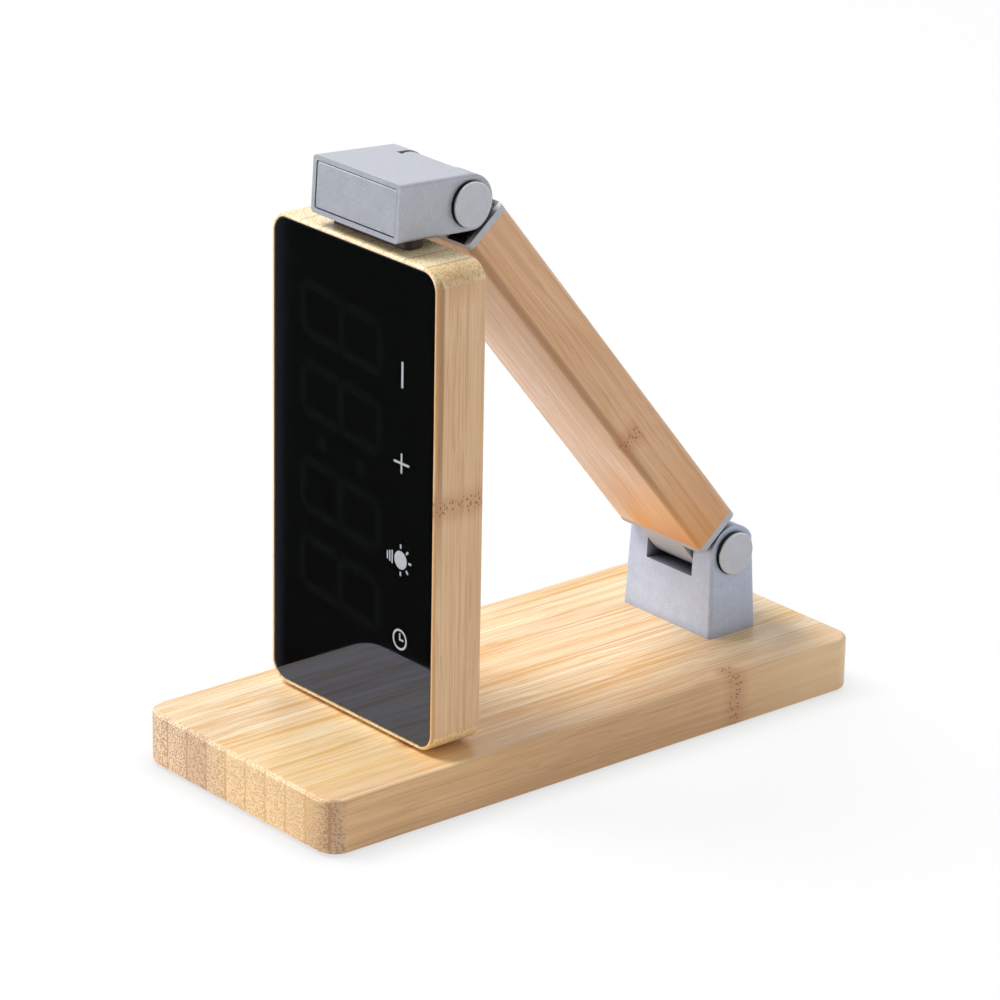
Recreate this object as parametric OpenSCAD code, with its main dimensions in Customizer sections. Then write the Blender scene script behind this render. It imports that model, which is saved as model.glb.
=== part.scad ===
// Folding desk clock with a lamp: a laminated bamboo foot, a bamboo arm on two
// clevis hinges of die-cast metal, and a bamboo clock head that hangs from the arm.
// +Z is up, the clock panel faces -Y, and the origin is under the middle of the foot.

/* [Foot board] */
// Width of the foot board, side to side
base_w = 80; // [70:0.5:110]
// Length of the foot board, front to back
base_l = 183; // [175:0.5:220]
// Thickness of the foot board
base_t = 15.2; // [12:0.1:20]
// Radius of the foot board's upright corners
base_r = 6; // [2:0.5:12]
// Radius of the foot board's rounded edges
base_ease = 1.2; // [0.3:0.1:3]
// How far the rubber feet stand out below the board
foot_proud = 0.6; // [0.3:0.1:2]
// Diameter of a rubber foot
foot_d = 12; // [8:0.5:16]
// Distance from the board's back edge to the lower hinge pin
hinge_setback = 25.5; // [20:0.1:32]

/* [Hinge brackets] */
// Width of the lower bracket at its seat on the foot board
foot_seat_w = 35.8; // [34.6:0.1:40]
// Thickness of the lower bracket at its seat
foot_seat_t = 17.2; // [16:0.1:20]
// Width of the upper bracket at its covered end
head_seat_w = 35.2; // [34.6:0.1:40]
// Width over a bracket's two ears, at the pin
ear_w = 33.9; // [32:0.1:34.4]
// Thickness of a bracket at the pin, twice the radius of its round end
bracket_t = 15.3; // [14.6:0.1:15.8]
// Height of the hinge pin over the bracket's seat
bracket_h = 23.5; // [22:0.1:28]
// Width of the slot between the two ears
slot_w = 18.5; // [16:0.1:20]
// Clear space between a tongue's round end and the slot's floor
slot_room = 0.25; // [0.2:0.05:1.5]
// Depth of the slot below the pin, on the side to which the arm doesn't fold
slot_shallow = 3.3; // [2.5:0.1:4]
// Wall of the hollow casting
bracket_wall = 2.2; // [1.6:0.1:3]
// Diameter of the hinge pins
pin_d = 5; // [4:0.1:6]
// Diameter of the round caps on the pin's ends
cap_d = 12; // [10:0.1:13]
// Thickness of a cap
cap_t = 0.6; // [0.4:0.1:1.5]
// Thickness of the dark washer under a cap
cap_washer_t = 1.3; // [0.5:0.1:1.6]

/* [Arm] */
// Distance from the lower hinge pin to the upper one
arm_span = 151.6; // [148:0.1:190]
// Width of the arm
arm_w = 34; // [28:0.1:36]
// Thickness of the arm
arm_t = 14.8; // [14:0.1:18]
// Radius of the arm's long edges
arm_edge_r = 1.6; // [0.5:0.1:3]
// Clear space between the ears' round end and the arm's end plate
plate_room = 0.85; // [0.4:0.05:3]
// Thickness of the arm's end plates
plate_t = 2; // [1.5:0.1:3]
// How far the tongue lies under the bracket's round end
tongue_set = 0.3; // [0.2:0.1:0.8]
// Clear space from a tongue's side to the ear beside it
tongue_gap = 0.6; // [0.4:0.1:1]

/* [Clock head] */
// Width of the clock case
case_w = 67.6; // [66:0.1:75]
// Height of the clock case
case_h = 130.7; // [118:0.1:140]
// Depth of the clock case, front to back
case_d = 15.9; // [15.4:0.1:18]
// Radius of the case's corners, seen from the front
case_r = 5.6; // [3:0.1:9]
// Radius of the case's rounded edges
case_ease = 0.6; // [0.2:0.1:0.8]
// Bamboo lip that shows round the panel
case_lip = 0.9; // [0.7:0.1:2]
// Wall of the case round its cavity
case_wall = 3.2; // [2.8:0.1:4]
// Back wall of the case round the lamp
back_wall = 2.4; // [1.8:0.1:3]
// Distance from the upper hinge pin to the case's front
head_reach = 24; // [23.6:0.1:28]
// Height of the neck between the case and its bracket
neck_h = 2.7; // [1.2:0.1:5]
// Angle by which the upper bracket is tipped nose up on the neck, in degrees
bracket_tip = 3.4; // [0:0.2:5]
// Air between the foot board and the clock head that stands over it
rest_gap = 1; // [0.4:0.1:2]
// Thickness of the front panel
panel_t = 1.6; // [1:0.1:2]

/* [Display] */
// Height of a numeral
digit_h = 34.1; // [28:0.1:36]
// Width of a bar of a numeral
bar_t = 2.6; // [2:0.1:3.4]
// Lean of the numerals, in degrees
digit_lean = 6.4; // [0:0.1:10]
// Room between two numerals
digit_space = 6; // [4:0.1:8]
// Further room that the colon takes
colon_room = 5; // [4:0.1:7]
// Diameter of a colon dot
dot_d = 4; // [2:0.1:4.5]
// Distance from the case's top to the numerals
display_margin = 14.8; // [12:0.1:20]
// Depth of the light wells
well_t = 2.6; // [2:0.1:3]

/* [Lamp] */
// Width of the lamp window in the back wall
lamp_w = 40; // [30:0.5:42]
// Distance from the case's top and bottom to the lamp window
lamp_margin = 17.4; // [16:0.1:24]
// Lamp diodes in one column
lamp_rows = 10; // [6:1:12]

/* [Hidden] */

// Clearances and cutting aids
overrun = 1;
seat_gap = 0.1;
run_gap = 0.05;
slip_gap = 0.25;
$fn = 64;

// Heights and the pose that the head's stand on the foot gives to the arm
base_top = foot_proud + base_t;
bracket_r = bracket_t / 2;
neck_reach = head_reach - case_d / 2;
low_pin_y = base_l / 2 - hinge_setback;
low_pin_z = base_top + bracket_h;
case_bottom_z = base_top + rest_gap;
case_top_z = case_bottom_z + case_h;
top_pin_z = case_top_z + neck_h + bracket_r / cos(bracket_tip) - neck_reach * tan(bracket_tip);
arm_angle = asin((top_pin_z - low_pin_z) / arm_span);
top_pin_y = low_pin_y - arm_span * cos(arm_angle);
case_front_y = top_pin_y - head_reach;

// Foot details
foot_sunk = 1.4;
foot_t = foot_proud + foot_sunk;
foot_inset = foot_d / 2 + base_r;
board_screw_r = 1.6;
board_screw_head_r = 4;
board_screw_head_h = 2.4;
board_screw_bite = 9;

// Bracket details
bracket_corner_r = 1.3;
corner_crease = 0.03;
bracket_top = bracket_h + bracket_r;
bracket_web = 2.4;
tongue_r = bracket_r - tongue_set;
slot_round_room = 0.1;
slot_round_r = bracket_r - slot_round_room;
slot_floor = bracket_h - tongue_r - slot_room;
hollow_top = slot_floor - bracket_web;
cap_sunk = 0.3;
cap_seat = ear_w / 2 - cap_sunk;
cap_clearance = 0.2;
cap_recess_r = cap_d / 2 + cap_clearance;
cap_edge = 0.15;
cap_stud_r = 1.3;
cap_stud_l = 5;
boss_r = 3.1;
boss_room = 1;
boss_x = foot_seat_w / 2 - bracket_wall - boss_r - boss_room;
cover_t = 1.4;
cover_recess = 0.15;
cover_wall = 1.3;
cover_r = 0.9;

// Tongue and arm details
tongue_w = slot_w - 2 * tongue_gap;
plate_reach = bracket_r + plate_room;
friction_washer_inset = 1.3;
friction_washer_r = tongue_r - friction_washer_inset;
friction_washer_t = tongue_gap - 2 * run_gap;
post_r = 2.5;
post_l = 16;
post_share = 0.28;
post_x = arm_w * post_share;
plate_far = plate_reach + plate_t;

// Neck
neck_side_inset = 2.1;
neck_w = head_seat_w - 2 * neck_side_inset;
neck_inset = 5;
neck_d = case_d - 2 * neck_inset;
neck_corner_r = neck_d / 3;
neck_screw_inset = 5;
neck_screw_x = neck_w / 2 - neck_screw_inset;
neck_room = 1;
neck_screw_r = 1.25;
neck_screw_bite = 4.6;
neck_screw_head_r = 2.3;
neck_screw_head_h = 1.6;

// Case: depths count back from its front, and the cavity is what the walls leave
panel_w = case_w - 2 * case_lip - 2 * seat_gap;
panel_h = case_h - 2 * case_lip - 2 * seat_gap;
panel_r = case_r - case_lip - seat_gap;
panel_sink = 0.15;
panel_back = panel_sink + panel_t;
ledge_y = panel_back + run_gap;
cavity_w = case_w - 2 * case_wall;
cavity_h = case_h - 2 * case_wall;
cavity_r_room = 1;
cavity_r = case_r - case_wall + cavity_r_room;
cavity_back = case_d - back_wall;
case_mid = case_h / 2;

// Display stack, one layer behind the other
display_share = 0.456;
display_mid = case_h * display_share;
display_rise_share = 0.073;
display_rise = case_w * display_rise_share;
slant = tan(digit_lean);
lean_reach = slant * digit_h / 2;
digit_pitch = (display_mid - display_margin - lean_reach + (digit_space - colon_room) / 2) / 2;
digit_w = digit_pitch - digit_space;
colon_pitch = digit_pitch + colon_room;
bar_gap = 0.35;
block_rim = 2;
reflector_y = ledge_y + run_gap;
board_y = reflector_y + well_t + seat_gap;
board_t = 1;
board_side_room = 2;
board_end_room = 4;
board_w = cavity_w - 2 * board_side_room;
board_h = cavity_h - 2 * board_end_room;
diode = [1.6, 1, 0.6];
touch_share = 0.296;
touch_x = case_w * touch_share;
touch_shares = [0.234, 0.416, 0.618, 0.786];
spring_r = 2.8;
spring_wall = 0.5;

// Lamp stack, counted forward from the back wall
lamp_h = case_h - 2 * lamp_margin;
lamp_r = 4;
lens_sink = 0.2;
flange_t = 1;
flange_rim = 2;
flange_y = cavity_back - seat_gap - flange_t;
lamp_diode = [2.8, 3.5, 0.8];
lamp_board_t = 1;
lamp_air = 0.4;
lamp_board_y = flange_y - lamp_air - lamp_diode[2] - lamp_board_t;

// Chassis between the display and the lamp
floor_t = 1.2;
floor_y = lamp_board_y - run_gap - floor_t;
skirt_t = 1.2;
chassis_w = cavity_w - 2 * seat_gap;
chassis_top = case_wall + neck_screw_head_h + neck_room;
chassis_h = case_h - case_wall - seat_gap - chassis_top;
chassis_mid = chassis_top + chassis_h / 2;
stand_r = 2.4;
stand_x = board_w / 2 - stand_r;
stand_end_room = 6;
stand_z = board_h / 2 - stand_r - stand_end_room;
stand_screw_r = 1;
stand_screw_head_r = 1.9;
stand_screw_head_h = 1.2;
stand_screw_l = 4;
post_pad_r = 3.1;
post_pad_room = 1;
post_pad_x = cavity_w / 2 - post_pad_r - post_pad_room;
post_pad_z = chassis_h / 2 - post_pad_r - 1.5 * post_pad_room;
pad_screw_l = 4;
battery = [34, 52];
battery_r = 2;
battery_share = 0.56;
battery_below = case_h * battery_share;
buzzer_share = 0.2;
buzzer_r = 4.5;
buzzer_t = 2.6;
socket = [7.4, 9, 3.2];
socket_r = 1.55;
socket_wall = 0.35;
socket_sink = 0.5;
socket_share = 0.8;
socket_below = case_h * socket_share;
socket_tongue_shares = [0.74, 0.22];

// A rectangle with round corners, exact in outline
module rounded(w, h, r) {
    square([w - 2 * r, h], center = true);
    square([w, h - 2 * r], center = true);
    for (sx = [-1, 1], sy = [-1, 1])
        translate([sx * (w / 2 - r), sy * (h / 2 - r)]) circle(r);
}

// Half the section of an eased plate, out to its rim
module eased_section(reach, t, ease) {
    square([reach - ease, t]);
    translate([0, ease]) square([reach, t - 2 * ease]);
    for (z = [ease, t - ease]) translate([reach - ease, z]) circle(ease);
}

// A plate with round corners and rounded rims, from z = 0 up
module eased_plate(w, h, t, r, ease) {
    rotate([90, 0, 0]) linear_extrude(h - 2 * r, center = true)
        for (s = [0, 1]) mirror([s, 0]) eased_section(w / 2, t, ease);
    for (s = [0, 1]) mirror([0, s, 0]) {
        translate([0, h / 2 - r, 0]) rotate([90, 0, 90]) linear_extrude(w - 2 * r, center = true)
            eased_section(r, t, ease);
        for (m = [0, 1]) mirror([m, 0, 0]) translate([w / 2 - r, h / 2 - r, 0])
            rotate_extrude(angle = 90) eased_section(r, t, ease);
    }
}

// A cylinder along X, centred on the origin
module rod_x(r, l) rotate([0, 90, 0]) cylinder(r = r, h = l, center = true);

// A screw that points along +Z, with a cone head below the origin's plane
module sunk_screw(r, l, head_r, head_h) {
    cylinder(r1 = head_r, r2 = r, h = head_h);
    cylinder(r = r, h = l);
}

// A screw that points along +Z, with its flat head under z = 0
module pan_screw(r, l, head_r, head_h) {
    cylinder(r = r, h = l);
    translate([0, 0, -head_h]) cylinder(r = head_r, h = head_h);
}

// Frames of the bodies
module at_low_bracket() translate([0, low_pin_y, base_top]) children();
module at_arm() translate([0, low_pin_y, low_pin_z]) rotate([90 - arm_angle, 0, 0]) children();
module at_arm_top() at_arm() translate([0, 0, arm_span]) rotate([180, 0, 0]) children();
module at_head_bracket() {
    translate([0, top_pin_y, top_pin_z]) rotate([-bracket_tip, 0, 0]) translate([0, -bracket_h, 0])
        rotate([90, 0, 180]) children();
}
module at_case() translate([0, case_front_y, case_top_z]) children();

// In the case: a flat shape seen from the front, drawn with x to the right and y up,
// from depth y0 and t deep
module layer(y0, t, down = case_mid) {
    translate([0, y0 + t, -down]) rotate([90, 0, 0]) linear_extrude(t) children();
}

// As layer, for the display, whose numerals lie on their side: drawn x runs up, y to the left
module display_layer(y0, t) {
    translate([-display_rise, y0 + t, -display_mid]) rotate([90, -90, 0]) linear_extrude(t) children();
}

module base_board() {
    color("#d9b57c") difference() {
        translate([0, 0, foot_proud]) eased_plate(base_w, base_l, base_t, base_r, base_ease);
        foot_places() cylinder(r = foot_d / 2 + seat_gap, h = foot_t + seat_gap);
        at_low_bracket() for (s = [-1, 1]) translate([s * boss_x, 0, -base_t]) {
            cylinder(r = board_screw_r + seat_gap, h = base_t + overrun);
            cylinder(r1 = board_screw_head_r + seat_gap, r2 = board_screw_r + seat_gap,
                h = board_screw_head_h + seat_gap);
        }
    }
}

module foot_places() {
    for (sx = [-1, 1], sy = [-1, 1])
        translate([sx * (base_w / 2 - foot_inset), sy * (base_l / 2 - foot_inset), 0]) children();
}

module base_feet() {
    color("#2b2b2b") foot_places() cylinder(r = foot_d / 2, h = foot_t);
}

// Lean of a bracket's flat faces, which touch its round end, in degrees
function face_lean(seat_t) = acos(bracket_r / norm([seat_t / 2, bracket_h])) - atan2(bracket_h, seat_t / 2);

// Width and thickness of a bracket at a height over its seat
function width_at(seat_w, z) = seat_w - (seat_w - ear_w) * z / bracket_h;
function thickness_at(seat_t, z) = seat_t - 2 * z * tan(face_lean(seat_t));

// The cast clevis, standing on its seat at z = 0 with the pin along X; the arm folds to -Y
module bracket_block(seat_w, seat_t) {
    turn = face_lean(seat_t);
    intersection() {
        rotate([90, 0, 90]) linear_extrude(seat_w + 2 * overrun, center = true) {
            polygon([[-seat_t / 2, 0], [seat_t / 2, 0],
                [bracket_r * cos(turn), bracket_h + bracket_r * sin(turn)],
                [-bracket_r * cos(turn), bracket_h + bracket_r * sin(turn)]]);
            translate([0, bracket_h]) circle(bracket_r);
        }
        rotate([90, 0, 0]) linear_extrude(seat_t + 2 * overrun, center = true)
            polygon([[-seat_w / 2, 0], [seat_w / 2, 0],
                [width_at(seat_w, bracket_top) / 2, bracket_top],
                [-width_at(seat_w, bracket_top) / 2, bracket_top]]);
        bracket_corners(seat_w + 2 * corner_crease, seat_t + 2 * corner_crease);
    }
}

// The tapered block whose round corners trim the clevis
module bracket_corners(seat_w, seat_t) {
    top = bracket_top + overrun;
    hull() for (sx = [-1, 1], sy = [-1, 1]) {
        translate([sx * (seat_w / 2 - bracket_corner_r), sy * (seat_t / 2 - bracket_corner_r), -overrun])
            cylinder(r = bracket_corner_r, h = overrun, $fn = 32);
        translate([sx * (width_at(seat_w, top) / 2 - bracket_corner_r),
                sy * (thickness_at(seat_t, top) / 2 - bracket_corner_r), top])
            cylinder(r = bracket_corner_r, h = overrun, $fn = 32);
    }
}

// What the tongue, the pin and its caps take out of the clevis
module bracket_slot() {
    room = foot_seat_t / 2 + overrun;
    translate([-slot_w / 2, -room, slot_floor]) cube([slot_w, room, bracket_h]);
    translate([-slot_w / 2, 0, bracket_h - slot_shallow]) cube([slot_w, room, bracket_h]);
    translate([0, 0, bracket_h]) {
        rod_x(slot_round_r, slot_w);
        rod_x(pin_d / 2 + run_gap, ear_w + 2 * overrun);
        for (s = [-1, 1]) translate([s * (cap_seat + overrun), 0, 0]) rod_x(cap_recess_r, 2 * overrun);
    }
}

// The hollow under the slot, open at the seat
module bracket_hollow(seat_w, seat_t) {
    linear_extrude(2 * hollow_top, center = true)
        rounded(seat_w - 2 * bracket_wall, seat_t - 2 * bracket_wall, bracket_corner_r);
}

module base_bracket() {
    color("#a9abb0") at_low_bracket() difference() {
        bracket_block(foot_seat_w, foot_seat_t);
        bracket_slot();
        difference() {
            bracket_hollow(foot_seat_w, foot_seat_t);
            for (s = [-1, 1]) translate([s * boss_x, 0, 0]) cylinder(r = boss_r, h = bracket_h);
        }
        for (s = [-1, 1]) translate([s * boss_x, 0, -overrun])
            cylinder(r = board_screw_r + run_gap, h = board_screw_bite + 2 * overrun);
    }
}

module base_bracket_screws() {
    color("#8d9096") at_low_bracket() for (s = [-1, 1]) translate([s * boss_x, 0, -base_t])
        sunk_screw(board_screw_r, base_t + board_screw_bite, board_screw_head_r, board_screw_head_h);
}

// The turned pin with a blind hole in each end for the cap's stud
module hinge_pin() {
    difference() {
        rod_x(pin_d / 2, 2 * cap_seat);
        for (s = [-1, 1]) translate([s * cap_seat, 0, 0])
            rod_x(cap_stud_r + run_gap, 2 * (cap_stud_l + cap_stud_r));
    }
}

module pin_caps() {
    for (s = [0, 180]) rotate([0, 0, s]) translate([cap_seat + cap_washer_t, 0, 0]) rotate([0, 90, 0]) {
        cylinder(r = cap_d / 2, h = cap_t - cap_edge);
        translate([0, 0, cap_t - cap_edge])
            cylinder(r1 = cap_d / 2, r2 = cap_d / 2 - cap_edge, h = cap_edge);
        translate([0, 0, -cap_washer_t - cap_stud_l]) cylinder(r = cap_stud_r, h = cap_stud_l + cap_washer_t);
    }
}

module cap_washers() {
    for (s = [-1, 1]) translate([s * (cap_seat + cap_washer_t / 2), 0, 0]) difference() {
        rod_x(cap_d / 2 - cap_edge, cap_washer_t);
        rod_x(cap_stud_r + run_gap, cap_washer_t + overrun);
    }
}

module friction_washers() {
    for (s = [-1, 1]) translate([s * (slot_w / 2 - tongue_gap / 2), 0, 0]) difference() {
        rod_x(friction_washer_r, friction_washer_t);
        rod_x(pin_d / 2 + run_gap, tongue_gap + overrun);
    }
}

module lower_hinge_pin() { color("#8d9096") at_arm() hinge_pin(); }
module lower_pin_caps() { color("#b4b6ba") at_arm() pin_caps(); }
module lower_cap_washers() { color("#1d1e20") at_arm() cap_washers(); }
module lower_friction_washers() { color("#e9e7df") at_arm() friction_washers(); }

// The arm's end fitting: a tongue round the pin, a plate, and two posts in the bar
module arm_fitting() {
    difference() {
        union() {
            rotate([90, 0, 90]) linear_extrude(tongue_w, center = true) {
                circle(tongue_r);
                translate([-tongue_r, 0]) square([2 * tongue_r, plate_far - plate_t / 2]);
            }
            translate([0, 0, plate_reach]) linear_extrude(plate_t) rounded(arm_w, arm_t, arm_edge_r);
            for (s = [-1, 1]) translate([s * post_x, 0, plate_reach])
                cylinder(r = post_r, h = plate_t + post_l);
        }
        rod_x(pin_d / 2 + run_gap, tongue_w + overrun);
    }
}

module lower_arm_fitting() { color("#a9abb0") at_arm() arm_fitting(); }
module upper_arm_fitting() { color("#a9abb0") at_arm_top() arm_fitting(); }

module arm_bar() {
    color("#c99a63") at_arm() difference() {
        translate([0, 0, plate_far]) linear_extrude(arm_span - 2 * plate_far)
            rounded(arm_w, arm_t, arm_edge_r);
        for (s = [-1, 1], z = [plate_far, arm_span - plate_far]) translate([s * post_x, 0, z])
            cylinder(r = post_r + seat_gap, h = 2 * (post_l + seat_gap), center = true);
    }
}

module upper_hinge_pin() { color("#8d9096") at_arm_top() hinge_pin(); }
module upper_pin_caps() { color("#b4b6ba") at_arm_top() pin_caps(); }
module upper_cap_washers() { color("#1d1e20") at_arm_top() cap_washers(); }
module upper_friction_washers() { color("#e9e7df") at_arm_top() friction_washers(); }

// The same clevis lying on its side on the head, with bosses for the neck's screws
module head_bracket() {
    color("#a9abb0") difference() {
        at_head_bracket() bracket_block(head_seat_w, bracket_t);
        at_head_bracket() bracket_slot();
        difference() {
            at_head_bracket() bracket_hollow(head_seat_w, bracket_t);
            neck_places(boss_r, neck_h + bracket_r);
        }
        at_head_bracket() linear_extrude(2 * (cover_t + cover_recess), center = true)
            rounded(head_seat_w - 2 * cover_wall, bracket_t - 2 * cover_wall, cover_r);
        neck_places(neck_screw_r + run_gap, neck_h + neck_screw_bite + overrun);
    }
}

// Round places along the neck's two screws, upright from the case's top
module neck_places(r, l) {
    at_case() for (s = [-1, 1]) translate([s * neck_screw_x, case_d / 2, 0]) cylinder(r = r, h = l);
}

module bracket_cover() {
    color("#b4b6ba") at_head_bracket() translate([0, 0, cover_recess]) linear_extrude(cover_t)
        rounded(head_seat_w - 2 * cover_wall - 2 * slip_gap, bracket_t - 2 * cover_wall - 2 * slip_gap,
            cover_r - slip_gap);
}

// The pad under the tipped bracket, level below and sloping above
module head_neck() {
    color("#7a4a2e") difference() {
        at_case() translate([0, case_d / 2, 0]) linear_extrude(2 * neck_h)
            rounded(neck_w, neck_d, neck_corner_r);
        at_head_bracket() translate([-head_seat_w / 2, -bracket_r, -bracket_h])
            cube([head_seat_w, bracket_t, 3 * bracket_h]);
        neck_places(neck_screw_r + seat_gap, 2 * neck_h);
    }
}

module neck_screws() {
    color("#8d9096") at_case() for (s = [-1, 1]) translate([s * neck_screw_x, case_d / 2, -case_wall])
        pan_screw(neck_screw_r, case_wall + neck_h + neck_screw_bite, neck_screw_head_r, neck_screw_head_h);
}

module head_case() {
    color("#e3c08c") at_case() difference() {
        translate([0, case_d, -case_mid]) rotate([90, 0, 0])
            eased_plate(case_w, case_h, case_d, case_r, case_ease);
        layer(-overrun, overrun + ledge_y)
            rounded(case_w - 2 * case_lip, case_h - 2 * case_lip, case_r - case_lip);
        difference() {
            layer(0, cavity_back) rounded(cavity_w, cavity_h, cavity_r);
            pad_places() layer(floor_y + floor_t + run_gap, cavity_back, 0) circle(post_pad_r);
        }
        layer(0, case_d + overrun) rounded(lamp_w, lamp_h, lamp_r);
        pad_places() layer(0, floor_y + floor_t + pad_screw_l, 0) circle(stand_screw_r);
        for (s = [-1, 1]) translate([s * neck_screw_x, case_d / 2, -case_wall])
            cylinder(r = neck_screw_r + seat_gap, h = 2 * case_wall, center = true);
        translate([-case_w / 2, board_y + board_t + socket[2] / 2 + run_gap, -socket_below])
            rotate([0, 90, 0]) linear_extrude(2 * (case_wall + overrun), center = true)
                rounded(socket[1] + 2 * slip_gap, socket[2] + 2 * slip_gap, socket_r + slip_gap);
    }
}

// The four wooden pads in the corners that carry the chassis
module pad_places() {
    for (sx = [-1, 1], sz = [-1, 1])
        translate([sx * post_pad_x, 0, sz * post_pad_z - chassis_mid]) children();
}

// The four stands of the display board
module stand_places() {
    for (sx = [-1, 1], sz = [-1, 1])
        translate([sx * stand_x, 0, sz * stand_z - case_mid]) children();
}

module front_panel() {
    color("#0d0e0e") at_case() layer(panel_sink, panel_t) rounded(panel_w, panel_h, panel_r);
}

// One bar of a numeral, pointed at both ends, leaning with the numeral
function lean(p) = [p[0] + slant * p[1], p[1]];
function bar_points(a, b) =
    let (along = (b - a) / norm(b - a), side = [-along[1], along[0]] * bar_t / 2,
        tip = along * bar_gap, shoulder = along * (bar_gap + bar_t / 2))
    [for (p = [a + tip, a + shoulder + side, b - shoulder + side,
        b - tip, b - shoulder - side, a + shoulder - side]) lean(p)];

// Ends of the seven bars of a numeral, about its middle
half_w = (digit_w - bar_t) / 2;
half_h = (digit_h - bar_t) / 2;
bars = [for (v = [-1, 0, 1]) [[-half_w, v * half_h], [half_w, v * half_h]],
    for (u = [-1, 1], v = [-1, 0]) [[u * half_w, v * half_h], [u * half_w, (v + 1) * half_h]]];
digit_places = [for (s = [-1, 1], n = [0, 1]) s * (colon_pitch / 2 + n * digit_pitch)];
dot_places = [for (s = [-1, 1]) lean([0, s * half_h / 2])];

module digit_wells() {
    for (u = digit_places) translate([u, 0]) for (b = bars) polygon(bar_points(b[0], b[1]));
    for (p = dot_places) translate(p) circle(dot_d / 2);
}

// The moulded block of light wells behind the dark panel, four numerals and a colon
module digit_reflector() {
    block_w = colon_pitch + 2 * digit_pitch + digit_w + slant * digit_h + 2 * block_rim;
    color("#17181a") at_case() display_layer(reflector_y, well_t) difference() {
        square([block_w, digit_h + 2 * block_rim], center = true);
        digit_wells();
    }
}

// One diode in the middle of each well, soldered to the board
module digit_diodes() {
    color("#e8e6d8") at_case() display_layer(board_y - diode[2], diode[2]) {
        for (u = digit_places, b = bars) translate([u, 0] + lean((b[0] + b[1]) / 2))
            square([diode[0], diode[1]], center = true);
        for (p = dot_places) translate(p) square([diode[0], diode[1]], center = true);
    }
}

module display_board() {
    color("#1f5a3c") at_case() difference() {
        layer(board_y, board_t) square([board_w, board_h], center = true);
        stand_places() layer(board_y - overrun, board_t + 2 * overrun, 0)
            circle(stand_screw_r + seat_gap);
    }
}

module board_screws() {
    color("#8d9096") at_case() stand_places() translate([0, board_y, 0]) rotate([-90, 0, 0])
        pan_screw(stand_screw_r, stand_screw_l, stand_screw_head_r, stand_screw_head_h);
}

module touch_springs() {
    color("#c9b37a") at_case() for (share = touch_shares)
        translate([touch_x, 0, -share * case_h]) layer(reflector_y, board_y - reflector_y, 0)
            difference() {
                circle(spring_r);
                circle(spring_r - spring_wall);
            }
}

module buzzer() {
    color("#222326") at_case() translate([board_w / 4, 0, -case_h * buzzer_share])
        layer(board_y + board_t + run_gap, buzzer_t, 0) circle(buzzer_r);
}

module battery_cell() {
    cell_y = board_y + board_t + 2 * seat_gap;
    color("#b9bcc2") at_case()
        layer(cell_y, floor_y - run_gap - cell_y, battery_below) rounded(battery[0], battery[1], battery_r);
}

// The moulded tray that carries the display, the cell and the lamp
module chassis() {
    color("#2c2d30") at_case() difference() {
        union() {
            layer(floor_y, floor_t, chassis_mid) rounded(chassis_w, chassis_h, cavity_r);
            layer(reflector_y, floor_y + floor_t - reflector_y, chassis_mid) difference() {
                rounded(chassis_w, chassis_h, cavity_r);
                square([chassis_w - 2 * skirt_t, chassis_h - 2 * skirt_t], center = true);
            }
            layer(floor_y, flange_y - run_gap - floor_y) difference() {
                rounded(lamp_w + 2 * flange_rim, lamp_h + 2 * flange_rim, lamp_r + flange_rim);
                rounded(lamp_w, lamp_h, lamp_r);
            }
            stand_places() layer(board_y + board_t + run_gap, floor_y + floor_t - board_y - board_t, 0)
                circle(stand_r);
        }
        stand_places() layer(board_y, stand_screw_l + overrun, 0) circle(stand_screw_r + run_gap);
        pad_places() layer(floor_y - overrun, floor_t + 2 * overrun, 0) circle(stand_screw_r + seat_gap);
        translate([-chassis_w / 2, board_y + board_t + socket[2] / 2 + run_gap, -socket_below])
            rotate([0, 90, 0]) linear_extrude(2 * (skirt_t + overrun), center = true)
                rounded(socket[1] + 2 * slip_gap, socket[2] + 2 * slip_gap, socket_r + slip_gap);
    }
}

module chassis_screws() {
    color("#8d9096") at_case() pad_places() translate([0, floor_y, 0]) rotate([-90, 0, 0])
        pan_screw(stand_screw_r - run_gap, pad_screw_l, stand_screw_head_r, stand_screw_head_h);
}

// The charging socket on the board's back, with its mouth in the case's left side
module usb_socket() {
    color("#c4c6ca") at_case()
        translate([socket_sink - case_w / 2, board_y + board_t + socket[2] / 2 + run_gap, -socket_below])
            rotate([0, 90, 0]) difference() {
                linear_extrude(socket[0]) rounded(socket[1], socket[2], socket_r);
                translate([0, 0, -overrun]) linear_extrude(socket[0] - socket_wall) difference() {
                    rounded(socket[1] - 2 * socket_wall, socket[2] - 2 * socket_wall,
                        socket_r - socket_wall);
                    square([socket[1] * socket_tongue_shares[0], socket[2] * socket_tongue_shares[1]],
                        center = true);
                }
            }
}

module lamp_board() {
    color("#e6e7e9") at_case() layer(lamp_board_y, lamp_board_t)
        rounded(lamp_w - 2 * slip_gap, lamp_h - 2 * slip_gap, lamp_r - slip_gap);
}

module lamp_diodes() {
    step = lamp_h / lamp_rows;
    color("#f2e6a0") at_case() layer(lamp_board_y + lamp_board_t, lamp_diode[2])
        for (sx = [-1, 1], n = [0 : lamp_rows - 1])
            translate([sx * lamp_w / 4, (n + 0.5) * step - lamp_h / 2])
                square([lamp_diode[0], lamp_diode[1]], center = true);
}

// The opal lens in the back wall, held by its flange
module lamp_diffuser() {
    color("#f4f3ee") at_case() {
        layer(flange_y, flange_t)
            rounded(lamp_w + 2 * flange_rim, lamp_h + 2 * flange_rim, lamp_r + flange_rim);
        layer(flange_y, case_d - lens_sink - flange_y)
            rounded(lamp_w - 2 * slip_gap, lamp_h - 2 * slip_gap, lamp_r - slip_gap);
    }
}

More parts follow.
